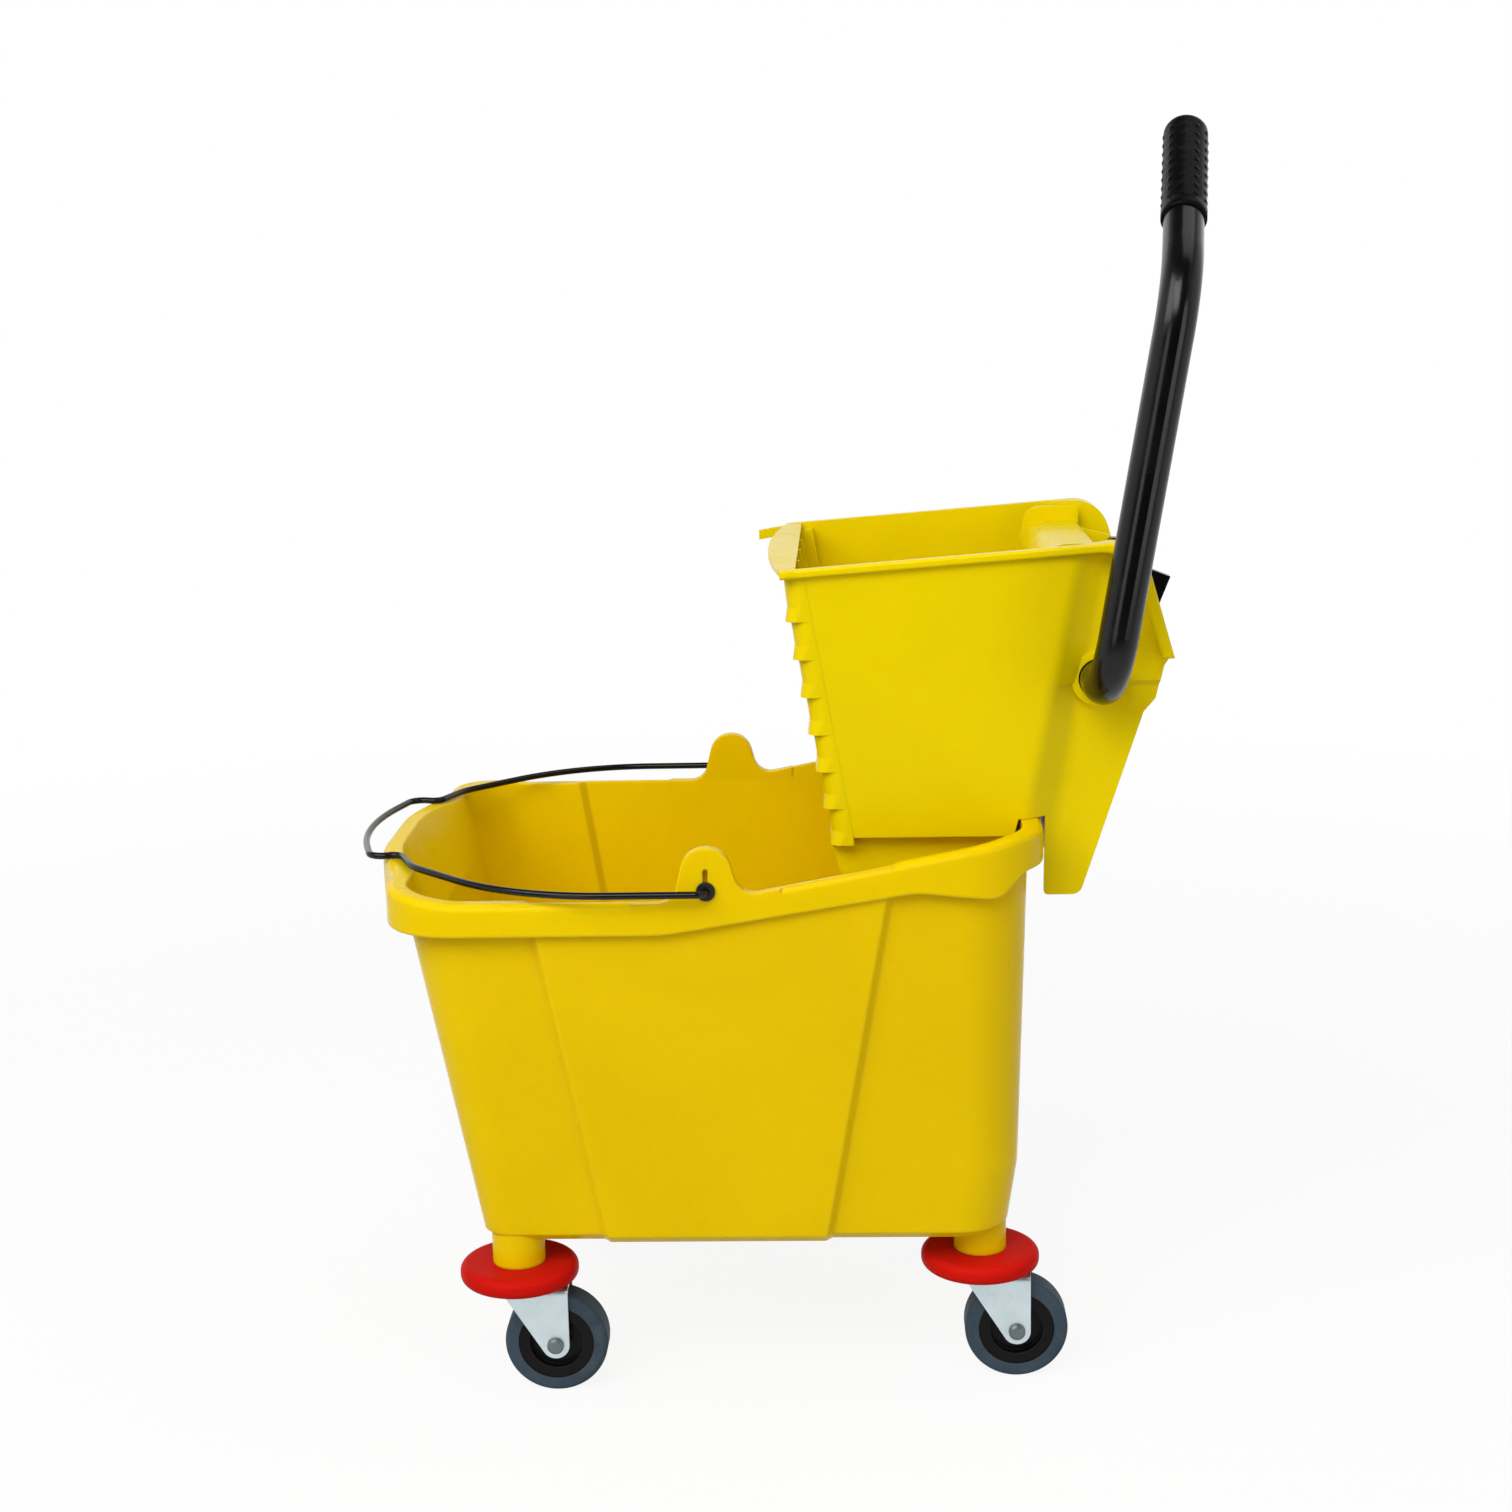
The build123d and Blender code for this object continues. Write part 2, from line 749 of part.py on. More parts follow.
def rim_at(x):
    """Height of the wringer's rim, which climbs towards the rear."""
    return wr_rim_z + wr_rim_slope * (x - flange_x)


def wr_half_at(z):
    """Half width of the wringer's outside, which tapers downwards."""
    return wr_half - wr_draft * (wr_rim_z - z)


def wr_width(inset):
    """Front view of the tapering wringer, inset from its outside."""
    low = wr_half_at(wr_low) - inset
    high = wr_half_at(wr_high) - inset
    with BuildSketch(Plane.YZ) as view:
        with BuildLine():
            Polyline((-low, wr_low), (low, wr_low), (high, wr_high), (-high, wr_high), close=True)
        make_face()
    return view.sketch


def wr_plan(z, inset):
    """Plan of the wringer at a height: it narrows behind the fold, and more below the crease."""
    half = wr_half_at(z) - inset
    fold_x = rim_back + fold_front_top - fold_slope * (wr_rim_z - z)
    rear_half = half - (fold_in if z >= crease_z else leg_in)
    near = [(0, -half), (fold_x, -half), (fold_x + fold_w, -rear_half), (past, -rear_half)]
    far = [(x, -y) for x, y in reversed(near)]
    with BuildSketch(Plane.XY.offset(z)) as plan:
        with BuildLine():
            FilletPolyline(*near, *far, radius=[fold_r, fold_r, 0, 0, fold_r, fold_r])
            Line(far[-1], near[0])
        make_face()
    return plan.sketch


def wr_room(inset):
    """The space within the wringer's side walls, inset from their outside."""
    with BuildPart() as room:
        heights = (wr_low, crease_z - crease_drop, crease_z, wr_high)
        loft([wr_plan(z, inset) for z in heights], ruled=True)
    return room.part


def front_edge(z):
    """X of the side walls' leaning front edge."""
    top_x = rim_back - wr_front
    low_x = rim_back - wr_front_low
    return low_x + (top_x - low_x) * (z - ledge_z) / (rim_at(top_x) - ledge_z)


def back_edge(z):
    """X of the side walls' leaning rear edge, between leg and step."""
    return leg_end + (mid_x - leg_end) * (z - wr_low) / (mid_z - wr_low)


def trough_view(inset, top):
    """Side view of the trough, inset from its outside and closed by the points along its top."""
    with BuildSketch(Plane.XZ) as view:
        with BuildLine():
            FilletPolyline(
                (trough_front_x + inset, trough_edge_z),
                (rim_back - trough_front_low + inset, trough_low + inset),
                (trough_back - inset, trough_low + inset),
                top[0],
                radius=trough_r - inset,
            )
            Polyline(*top, (trough_front_x + inset, trough_edge_z))
        make_face()
    return view.sketch


top_rear = (rim_back + wr_back_top, rim_at(rim_back + wr_back_top))
lip_low = (rim_back + wr_back_lip, seat_z + wr_back_lip_h)

wr_inside = wr_room(wr_wall)
trough_half = wr_half_at(ledge_z) - trough_in

with BuildPart() as wr_bead:
    with BuildSketch(Plane.XZ) as bead_view:
        with BuildLine():
            FilletPolyline((flange_x, wr_rim_z), top_rear, lip_low, radius=wr_corner_r)
            Polyline(lip_low, (flange_x, lip_low[1]), (flange_x, wr_rim_z))
        make_face()
        add(Pos(-bead_h, -bead_h) * bead_view.sketch_local, mode=Mode.SUBTRACT)
    extrude(amount=past, both=True)
    extrude(wr_width(-bead_out), amount=past, both=True, mode=Mode.INTERSECT)
    for side in (-1, 1):
        bead_side = wr_bead.faces().filter_by(lambda face: side * face.normal_at().Y > 0.9)
        fillet(bead_side.edges(), bead_r)
    add(wr_inside, mode=Mode.SUBTRACT)

with BuildPart() as wr_seat:
    # Ledge, saddle and hook plate
    with BuildSketch(Plane.XZ):
        with BuildLine():
            Polyline(
                (front_edge(ledge_z), ledge_z),
                (trough_back, ledge_z),
                (trough_back, seat_z),
                (hook_x, seat_z),
                (hook_x, wr_low + hook_end_h),
                (hook_back, wr_low + hook_end_h),
                (hook_back, seat_z + trough_t),
                (trough_back - trough_t, seat_z + trough_t),
                (trough_back - trough_t, ledge_top),
                (front_edge(ledge_top), ledge_top),
                close=True,
            )
        make_face()
    extrude(amount=past, both=True)
    add(wr_room(wr_wall / 2), mode=Mode.INTERSECT)
    # Trough under the ledge
    trough_top = [
        (trough_back, ledge_top),
        (front_edge(ledge_top), ledge_top),
        (trough_front_x + trough_t, trough_edge_z),
    ]
    extrude(trough_view(0, trough_top), amount=trough_half, both=True)
    room_z = ledge_top + wr_wall
    room_top = [(trough_back - trough_t, room_z), (trough_front_x + trough_t, room_z)]
    trough_room = trough_view(trough_t, room_top)
    extrude(trough_room, amount=trough_half - trough_t, both=True, mode=Mode.SUBTRACT)
    with BuildSketch(Plane.XY.offset(trough_low)):
        with Locations(((rim_back - trough_front_low + trough_back) / 2, 0)):
            with GridLocations(0, drain_pitch, 1, drain_count):
                SlotOverall(drain_l, drain_w)
    extrude(amount=trough_t, mode=Mode.SUBTRACT)

boss_face = wr_half_at(shaft_z) - fold_in + shaft_boss_out
bush_end = boss_face - shaft_boss_lip
boss_inner = boss_face - shaft_boss_t
lever_y = boss_inner - lever_in
tube_r = tube_d / 2
shaft_bush_r = tube_r + fit + bush_wall

with BuildPart() as wringer_basket:
    with BuildSketch(Plane.XZ):
        top_front = (rim_back - wr_front, rim_at(rim_back - wr_front))
        seat_front = rim_rear - wall - saddle_lead
        with BuildLine():
            FilletPolyline(
                (front_edge(ledge_z), ledge_z),
                top_front,
                top_rear,
                lip_low,
                (lip_low[0] - wr_back_step, lip_low[1] - wr_back_step_h),
                (mid_x + wr_mid_step, mid_z + wr_mid_step_h),
                (mid_x, mid_z),
                (leg_end, wr_low),
                (hook_x, wr_low),
                (hook_x, seat_z),
                (seat_front, seat_z),
                (seat_front - saddle_ramp, ledge_z),
                radius=[0, wr_corner_r, wr_edge_r, wr_edge_r, wr_mid_r, wr_edge_r, leg_r, wr_edge_r, 0, 0],
            )
            Line((seat_front - saddle_ramp, ledge_z), (front_edge(ledge_z), ledge_z))
        make_face()
    extrude(amount=past, both=True)
    add(wr_room(0), mode=Mode.INTERSECT)
    add(wr_inside, mode=Mode.SUBTRACT)
    add(wr_bead.part)
    add(wr_seat.part)
    # Bowed flange along the front, with a horn at its far end
    flange_half = wr_half + bead_out
    flange_back = flange_x + flange_w
    with BuildSketch(Plane.XY.offset(wr_rim_z - flange_t)) as flange_plan:
        with BuildLine():
            ThreePointArc((flange_x, -flange_half), (flange_x - flange_bow, 0), (flange_x, flange_half))
            Polyline(
                (flange_x, flange_half),
                (flange_back, flange_half),
                (flange_back, -flange_half),
                (flange_x, -flange_half),
            )
        make_face()
        fillet(flange_plan.vertices().group_by(Axis.X)[0], flange_r)
    extrude(amount=flange_t)
    with BuildSketch(Plane.XZ.offset(hook_t - flange_half)):
        with BuildLine():
            Polyline(
                (flange_back, wr_rim_z),
                (flange_x - hook_l, wr_rim_z - hook_drop),
                (flange_x - hook_l, wr_rim_z - hook_drop - hook_h),
                (flange_back, wr_rim_z - hook_h),
                close=True,
            )
        make_face()
    extrude(amount=-hook_t)
    # Bosses for the shaft and for the cover's screws
    for side in (-1, 1):
        with BuildSketch(Plane(origin=(shaft_x, side * boss_inner, shaft_z), z_dir=(0, side, 0))):
            Circle(shaft_boss_d / 2)
        extrude(amount=shaft_boss_t)
    with BuildSketch(Plane.XZ):
        with Locations((shaft_x, shaft_z)):
            Circle(shaft_bush_r + fit)
    extrude(amount=bush_end, both=True, mode=Mode.SUBTRACT)
    with BuildSketch(Plane.XZ):
        with Locations((shaft_x, shaft_z)):
            Circle(tube_r + shaft_lip_gap)
        with Locations((pin_x, pin_z)):
            Circle(plate_pin_d / 2 + fit)
    extrude(amount=past, both=True, mode=Mode.SUBTRACT)
    with BuildSketch(Plane.YZ.offset(hook_back)):
        with Locations(*screw_places):
            Circle(screw_boss_d / 2)
    extrude(amount=screw_boss_l)
    with BuildSketch(Plane.YZ.offset(hook_back + screw_boss_l)):
        with Locations(*screw_places):
            Circle(screw_d / 2 + fit)
    extrude(amount=-screw_l, mode=Mode.SUBTRACT)

wringer_basket.part.label = "wringer_basket"
export_step(wringer_basket.part, "parts/wringer_basket.step")

# Louvred front
tip_x = rim_back - louvre_ahead
tip_z = wr_rim_z - louvre_first
tips = [(tip_x + i * louvre_step, tip_z - i * louvre_pitch) for i in range(louvre_count)]
rail_z = wr_rim_z - flange_t
last_x, last_z = tips[-1]


def tip_at(z):
    """X of the slats' lower edges, taken as one leaning line."""
    return tip_x + (tip_z - z) * louvre_step / louvre_pitch


with BuildPart() as louvre_ends:
    with BuildSketch(Plane.XZ):
        with BuildLine():
            Polyline(
                (tip_at(trough_edge_z) + louvre_rib_in, trough_edge_z),
                (tip_at(rail_z) + louvre_rib_in, rail_z),
                (front_edge(rail_z) + return_t, rail_z),
                (front_edge(trough_edge_z) + return_t, trough_edge_z),
                close=True,
            )
        make_face()
    extrude(amount=past, both=True)
    extrude(wr_width(louvre_side_in), amount=past, both=True, mode=Mode.INTERSECT)
    end_inner = louvre_side_in + louvre_rib_t
    extrude(wr_width(end_inner), amount=past, both=True, mode=Mode.SUBTRACT)

with BuildPart() as louvre_returns:
    with BuildSketch(Plane.XZ):
        with BuildLine():
            Polyline(
                (front_edge(ledge_top) - return_t, ledge_top + return_gap),
                (front_edge(ledge_top) + return_t, ledge_top + return_gap),
                (front_edge(rail_z) + return_t, rail_z),
                (front_edge(rail_z) - return_t, rail_z),
                close=True,
            )
        make_face()
    extrude(amount=past, both=True)
    extrude(wr_width(wr_wall), amount=past, both=True, mode=Mode.INTERSECT)
    extrude(wr_width(louvre_side_in + louvre_rib_t / 2), amount=past, both=True, mode=Mode.SUBTRACT)


def slat_plan(z, front, corner_r, inset_x, inset_y):
    """Plan of a slat at a height: it runs round the front, back to the side walls' edges."""
    half = wr_half_at(z) - louvre_side_gap - inset_y
    back = front_edge(max(z, ledge_z)) - louvre_side_gap + 2 * inset_x
    with BuildSketch(Plane.XY.offset(z)) as plan:
        with BuildLine():
            FilletPolyline(
                (back, half),
                (front + inset_x, half),
                (front + inset_x, -half),
                (back, -half),
                radius=corner_r - inset_x,
            )
            Line((back, -half), (back, half))
        make_face()
    return plan.sketch


def slat_levels(x, z, top_z, inset_x, inset_y):
    """Three levels of a slat: lower edge, waist and upper edge."""
    return [
        slat_plan(z, x, louvre_low_r, inset_x, inset_y),
        slat_plan(z + louvre_waist_h, x + louvre_waist, louvre_waist_r, inset_x, inset_y),
        slat_plan(top_z, x - louvre_crest, louvre_crest_r, inset_x, inset_y),
    ]


with BuildPart() as louvre_front:
    for x, z in tips:
        top_z = rail_z if z == tip_z else z + louvre_pitch
        with BuildPart() as slat:
            loft(slat_levels(x, z, top_z, 0, 0), ruled=True)
            loft(slat_levels(x, z, top_z, louvre_t, louvre_side_t), ruled=True, mode=Mode.SUBTRACT)
        add(slat.part)
    with BuildSketch(Plane.YZ):
        for x, z in tips[1:]:
            with Locations((0, z + louvre_pitch - louvre_slit / 2)):
                Rectangle(2 * (wr_half - louvre_slit_in), louvre_slit)
    extrude(amount=front_edge(ledge_z), mode=Mode.SUBTRACT)
    with BuildSketch(Plane.XZ):
        with Locations((last_x, trough_edge_z)):
            Rectangle(2 * louvre_t, last_z + louvre_t - trough_edge_z, align=Align.MIN)
    foot_half = wr_half_at(last_z) - louvre_side_in
    extrude(amount=foot_half, both=True)
    for y in (-louvre_rib_pitch, 0, louvre_rib_pitch):
        with BuildSketch(Plane.XZ.offset(-y)):
            with BuildLine():
                Polyline(
                    (tip_at(trough_edge_z) + louvre_rib_in, trough_edge_z),
                    (tip_at(trough_edge_z) + louvre_rib_in + louvre_rib_depth, trough_edge_z),
                    (tip_at(rail_z) + louvre_rib_in + louvre_rib_depth, rail_z),
                    (tip_at(rail_z) + louvre_rib_in, rail_z),
                    close=True,
                )
            make_face()
        extrude(amount=louvre_rib_t / 2, both=True)
    add(louvre_ends.part)
    add(louvre_returns.part)
    add(wr_bead.part, mode=Mode.SUBTRACT)

louvre_front.part.label = "louvre_front"
export_step(louvre_front.part, "parts/louvre_front.step")

# Cover between the rear legs, and its screws
cover_low = wr_low + cover_low_h
pad_in = hook_back + screw_boss_l
pad_face = pad_in + screw_pad_l

with BuildPart() as rear_cover:
    with BuildSketch(Plane.XZ):
        with BuildLine():
            Polyline(
                (back_edge(mid_z) - cover_in, mid_z),
                (back_edge(cover_low) - cover_in, cover_low),
                (leg_end - cover_shelf, cover_low),
                (leg_end - cover_shelf, cover_low + cover_t),
                (back_edge(cover_low + cover_t) - cover_in - cover_t, cover_low + cover_t),
                (back_edge(mid_z) - cover_in - cover_t, mid_z),
                close=True,
            )
        make_face()
    extrude(amount=past, both=True)
    add(wr_room(wr_wall + run_gap), mode=Mode.INTERSECT)
    with BuildSketch(Plane.YZ.offset(pad_in)):
        with Locations(*screw_places):
            Circle(screw_pad_d / 2)
    extrude(amount=screw_pad_l)
    with BuildSketch(Plane.YZ.offset(pad_in)):
        with Locations(*screw_places):
            Circle(screw_d / 2 + fit)
    extrude(amount=screw_pad_l, mode=Mode.SUBTRACT)

rear_cover.part.label = "rear_cover"
export_step(rear_cover.part, "parts/rear_cover.step")

with BuildPart() as cover_screws:
    with BuildSketch(Plane.YZ.offset(pad_face)):
        with Locations(*screw_places):
            Circle(screw_d / 2)
    extrude(amount=-screw_l)
    with BuildSketch(Plane.YZ.offset(pad_face)):
        with Locations(*screw_places):
            Circle(screw_head_d / 2)
    extrude(amount=screw_head_t)

cover_screws.part.label = "cover_screws"
export_step(cover_screws.part, "parts/cover_screws.step")

# Bushes for the shaft
for side, place in ((-1, "near"), (1, "far")):
    with BuildPart() as shaft_bush:
        with BuildSketch(Plane(origin=(shaft_x, side * boss_inner, shaft_z), z_dir=(0, side, 0))):
            Circle(shaft_bush_r)
            Circle(tube_r + fit, mode=Mode.SUBTRACT)
        extrude(amount=bush_end - boss_inner)

    shaft_bush.part.label = f"shaft_bush_{place}"
    export_step(shaft_bush.part, f"parts/shaft_bush_{place}.step")

# Handle: one tube is the shaft, the upright and the hand end
lean = radians(handle_lean)
bend = radians(bend_deg)
cap_end = boss_face + run_gap + end_cap_l
tube_end = cap_end - end_cap_t
upright_y = -(boss_face + upright_out)
handle_plane = Plane(origin=(shaft_x, 0, shaft_z), x_dir=(0, 1, 0), z_dir=(cos(lean), 0, -sin(lean)))
arm_angle = radians(lever_deg)
arm_way = (sin(arm_angle), 0, cos(arm_angle))
bolt_way = (-sin(arm_angle), 0, -cos(arm_angle))

with BuildPart() as handle_tube:
    with BuildLine(handle_plane) as tube_route:
        FilletPolyline(
            (tube_end, 0),
            (upright_y, 0),
            (upright_y, upright_l),
            (upright_y + hand_l * sin(bend), upright_l + hand_l * cos(bend)),
            radius=[elbow_r, bend_r],
        )
    with BuildSketch(Plane(origin=tube_route.line @ 0, z_dir=tube_route.line % 0)):
        Circle(tube_r)
        Circle(tube_r - tube_t, mode=Mode.SUBTRACT)
    sweep(path=tube_route.line)
    for side in (-1, 1):
        with BuildSketch(Plane(origin=(shaft_x, side * lever_y, shaft_z), z_dir=bolt_way)):
            Circle(lever_bolt_d / 2 + fit)
        extrude(amount=tube_d, mode=Mode.SUBTRACT)

handle_tube.part.label = "handle_tube"
export_step(handle_tube.part, "parts/handle_tube.step")

hand_end = tube_route.line @ 1
hand_way = tube_route.line % 1
grip_plane = Plane(origin=hand_end, x_dir=hand_way.cross(handle_plane.z_dir), z_dir=handle_plane.z_dir)

with BuildPart() as handle_grip:
    with BuildSketch(grip_plane):
        with BuildLine():
            FilletPolyline(
                (0, 0),
                (tube_r + fit, 0),
                (tube_r + fit, -grip_l),
                (grip_collar_d / 2, -grip_l),
                (grip_collar_d / 2, grip_collar_l - grip_l),
                (grip_d / 2, grip_collar_l - grip_l),
                (grip_d / 2, grip_cap),
                (0, grip_cap),
                radius=[0, 0, 0, 0, 0, grip_round],
            )
            Line((0, grip_cap), (0, 0))
        make_face()
    revolve(axis=Axis(hand_end, hand_way))

handle_grip.part.label = "handle_grip"
export_step(handle_grip.part, "parts/handle_grip.step")

with BuildPart() as shaft_end_cap:
    with BuildSketch(Plane(origin=(shaft_x, boss_face + run_gap, shaft_z), z_dir=(0, 1, 0))):
        Circle(end_cap_d / 2)
    extrude(amount=end_cap_l)
    with BuildSketch(Plane(origin=(shaft_x, boss_face + run_gap, shaft_z), z_dir=(0, 1, 0))):
        Circle(tube_r + fit)
    extrude(amount=end_cap_l - end_cap_t, mode=Mode.SUBTRACT)

shaft_end_cap.part.label = "shaft_end_cap"
export_step(shaft_end_cap.part, "parts/shaft_end_cap.step")

# Levers on the shaft, and the bolts that hold them
for side, place in ((-1, "near"), (1, "far")):
    shaft_point = (shaft_x, side * lever_y, shaft_z)
    with BuildPart() as press_lever:
        arm_plane = Plane(origin=shaft_point, x_dir=(arm_way[2], 0, -arm_way[0]), z_dir=(0, -1, 0))
        with BuildSketch(arm_plane) as arm:
            Rectangle(lever_w, lever_l, align=Align.MIN)
            nose = arm.vertices().group_by(Axis.Y)[-1].sort_by(Axis.X)[0]
            fillet(nose, lever_tip_r)
            Circle(lever_hub_d / 2)
            Rectangle(lever_pad_w, lever_hub_d / 2, align=(Align.CENTER, Align.MAX))
            Circle(tube_r + fit, mode=Mode.SUBTRACT)
        extrude(amount=lever_t / 2, both=True)
        with BuildSketch(Plane(origin=shaft_point, z_dir=bolt_way)):
            Circle(lever_bolt_d / 2 + fit)
        extrude(amount=lever_hub_d, mode=Mode.SUBTRACT)

    press_lever.part.label = f"press_lever_{place}"
    export_step(press_lever.part, f"parts/press_lever_{place}.step")

with BuildPart() as lever_bolts:
    for side in (-1, 1):
        bolt_plane = Plane(origin=(shaft_x, side * lever_y, shaft_z), z_dir=bolt_way)
        bolt_tip = tube_r - tube_t - lever_bolt_in
        with BuildSketch(bolt_plane.offset(bolt_tip)):
            Circle(lever_bolt_d / 2)
        extrude(amount=lever_hub_d / 2 - bolt_tip)
        with BuildSketch(bolt_plane.offset(lever_hub_d / 2)):
            RegularPolygon(lever_bolt_flats / 2, 6, major_radius=False)
        extrude(amount=lever_bolt_head)

lever_bolts.part.label = "lever_bolts"
export_step(lever_bolts.part, "parts/lever_bolts.step")

# Press plate and its hinge pin
plate_slope = tan(radians(plate_lean))
plate_top = rim_at(rim_back) - plate_top_down
plate_inset = wr_wall + leg_in + plate_gap
barrel_half = trough_half - trough_t - plate_barrel_gap
face_t = plate_t / cos(radians(plate_lean))  # along X


def plate_face(z):
    """X of the plate's leaning front face."""
    return pin_x - plate_ahead + (z - pin_z) * plate_slope


def lever_front(along, ahead):
    """Point beside the levers' front edge: along it from the shaft, and ahead of it."""
    x = shaft_x + along * arm_way[0] - ahead * arm_way[2]
    z = shaft_z + along * arm_way[2] + ahead * arm_way[0]
    return x, z


plate_back = plate_face(plate_top) + plate_top_d
sheet_top = plate_top - plate_sunk

with BuildPart() as plate_ends:
    with BuildSketch(Plane.XZ):
        with BuildLine():
            FilletPolyline(
                (plate_face(seat_z), seat_z),
                (plate_face(plate_top), plate_top),
                (plate_back, plate_top),
                (plate_back, sheet_top - plate_lip),
                radius=[plate_end_r, plate_back_r],
            )
            Polyline(
                (plate_back, sheet_top - plate_lip),
                (plate_face(seat_z) + plate_end_w, seat_z),
                (plate_face(seat_z), seat_z),
            )
        make_face()
        with Locations((shaft_x, shaft_z)):
            Circle(plate_clear, mode=Mode.SUBTRACT)
    extrude(amount=past, both=True)
    extrude(wr_width(plate_inset), amount=past, both=True, mode=Mode.INTERSECT)
    extrude(wr_width(plate_inset + plate_t), amount=past, both=True, mode=Mode.SUBTRACT)

with BuildPart() as press_plate:
    with BuildSketch(Plane.XZ):
        with BuildLine():
            FilletPolyline(
                (plate_face(pin_z), pin_z),
                (plate_face(sheet_top), sheet_top),
                (plate_back, sheet_top),
                (plate_back, sheet_top - plate_lip),
                radius=[plate_round, plate_back_r],
            )
            FilletPolyline(
                (plate_back, sheet_top - plate_lip),
                (plate_back - plate_t, sheet_top - plate_lip),
                (plate_back - plate_t, sheet_top - plate_t),
                (plate_face(sheet_top - plate_t) + face_t, sheet_top - plate_t),
                (plate_face(pin_z) + face_t, pin_z),
                (plate_face(pin_z), pin_z),
                radius=[0, plate_back_r - plate_t, plate_round - plate_t, 0],
            )
        make_face()
    extrude(amount=past, both=True)
    plate_low = wr_half_at(seat_z) - plate_inset
    plate_high = wr_half_at(wr_high) - plate_inset
    with BuildSketch(Plane.YZ):
        with BuildLine():
            outline = [
                (barrel_half, pin_z),
                (barrel_half, seat_z),
                (plate_low, seat_z),
                (plate_high, wr_high),
            ]
            Polyline(*outline, *[(-y, z) for y, z in reversed(outline)], close=True)
        make_face()
    extrude(amount=past, both=True, mode=Mode.INTERSECT)
    add(plate_ends.part)
    # Ribs that the levers push
    rib_foot = lever_front(rib_low, rib_gap)
    for side in (-1, 1):
        with BuildSketch(Plane.XZ.offset(-side * lever_y)):
            with BuildLine():
                Polyline(
                    rib_foot,
                    (plate_face(rib_foot[1] - rib_drop) + face_t / 2, rib_foot[1] - rib_drop),
                    (plate_face(sheet_top - plate_round) + face_t / 2, sheet_top - plate_round),
                    (plate_face(sheet_top) + plate_round, sheet_top - plate_t / 2),
                    (plate_back - plate_t / 2, sheet_top - plate_t / 2),
                    lever_front(lever_l, rib_gap),
                    close=True,
                )
            make_face()
        extrude(amount=rib_t / 2, both=True)
    with BuildSketch(Plane.XZ):
        with Locations((pin_x, pin_z)):
            Circle(plate_barrel_d / 2)
    extrude(amount=barrel_half, both=True)
    with BuildSketch(Plane.XZ):
        with Locations((pin_x, pin_z)):
            Circle(plate_pin_d / 2 + fit)
    extrude(amount=past, both=True, mode=Mode.SUBTRACT)

press_plate.part.label = "press_plate"
export_step(press_plate.part, "parts/press_plate.step")

with BuildPart() as plate_pin:
    with BuildSketch(Plane.XZ):
        with Locations((pin_x, pin_z)):
            Circle(plate_pin_d / 2)
    extrude(amount=trough_half, both=True)
    for side in (-1, 1):
        with BuildSketch(Plane(origin=(pin_x, side * trough_half, pin_z), z_dir=(0, side, 0))):
            Circle(plate_pin_head_d / 2)
        extrude(amount=plate_pin_head_t)

plate_pin.part.label = "plate_pin"
export_step(plate_pin.part, "parts/plate_pin.step")
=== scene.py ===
"""Mop bucket with wringer: looks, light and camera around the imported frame."""
import json
import math

import bpy
from mathutils import Matrix, Vector


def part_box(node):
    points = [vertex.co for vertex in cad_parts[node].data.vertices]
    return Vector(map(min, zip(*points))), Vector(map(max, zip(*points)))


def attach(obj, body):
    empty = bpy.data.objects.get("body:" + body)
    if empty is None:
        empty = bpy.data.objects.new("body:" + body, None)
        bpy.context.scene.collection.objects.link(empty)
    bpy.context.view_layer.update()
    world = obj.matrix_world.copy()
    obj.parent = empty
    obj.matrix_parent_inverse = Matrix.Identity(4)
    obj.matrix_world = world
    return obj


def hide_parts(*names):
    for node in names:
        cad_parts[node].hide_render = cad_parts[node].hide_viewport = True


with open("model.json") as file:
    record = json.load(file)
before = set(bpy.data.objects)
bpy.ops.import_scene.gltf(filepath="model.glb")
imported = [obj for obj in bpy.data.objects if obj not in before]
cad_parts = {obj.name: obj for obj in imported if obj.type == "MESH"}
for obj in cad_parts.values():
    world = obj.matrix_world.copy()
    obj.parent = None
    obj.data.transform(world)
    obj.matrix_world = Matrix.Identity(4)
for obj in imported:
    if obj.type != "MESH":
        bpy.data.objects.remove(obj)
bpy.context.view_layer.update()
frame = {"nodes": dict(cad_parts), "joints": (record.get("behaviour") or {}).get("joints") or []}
nodes = frame["nodes"]
scene = bpy.context.scene
scene.view_settings.view_transform = "Standard"

# Camera; all lengths in this file are in metres, apart from the sensor's millimetres
SENSOR = 36.0
FOCAL_PX = 2414.07
PHOTO_PX = 1512.0
CAM_AT = Vector((0.0986, -1.7716, 0.8193))
CAM_YAW = math.radians(-2.27)
CAM_PITCH = math.radians(12.04)
CAM_ROLL = math.radians(-1.24)
CLIP_NEAR = 0.05
CLIP_FAR = 60.0

ahead = Vector((
    math.sin(CAM_YAW) * math.cos(CAM_PITCH),
    math.cos(CAM_YAW) * math.cos(CAM_PITCH),
    -math.sin(CAM_PITCH),
))
level = Vector((math.cos(CAM_YAW), -math.sin(CAM_YAW), 0.0))
upright = level.cross(ahead)
cam_x = level * math.cos(CAM_ROLL) + upright * math.sin(CAM_ROLL)
cam_y = upright * math.cos(CAM_ROLL) - level * math.sin(CAM_ROLL)
cam_turn = Matrix((cam_x, cam_y, -ahead)).transposed()

cam_data = bpy.data.cameras.new("camera")
cam_data.sensor_width = SENSOR
cam_data.lens = FOCAL_PX / PHOTO_PX * SENSOR
cam_data.clip_start = CLIP_NEAR
cam_data.clip_end = CLIP_FAR
camera = bpy.data.objects.new("camera", cam_data)
camera.matrix_world = Matrix.Translation(CAM_AT) @ cam_turn.to_4x4()
scene.collection.objects.link(camera)
scene.camera = camera


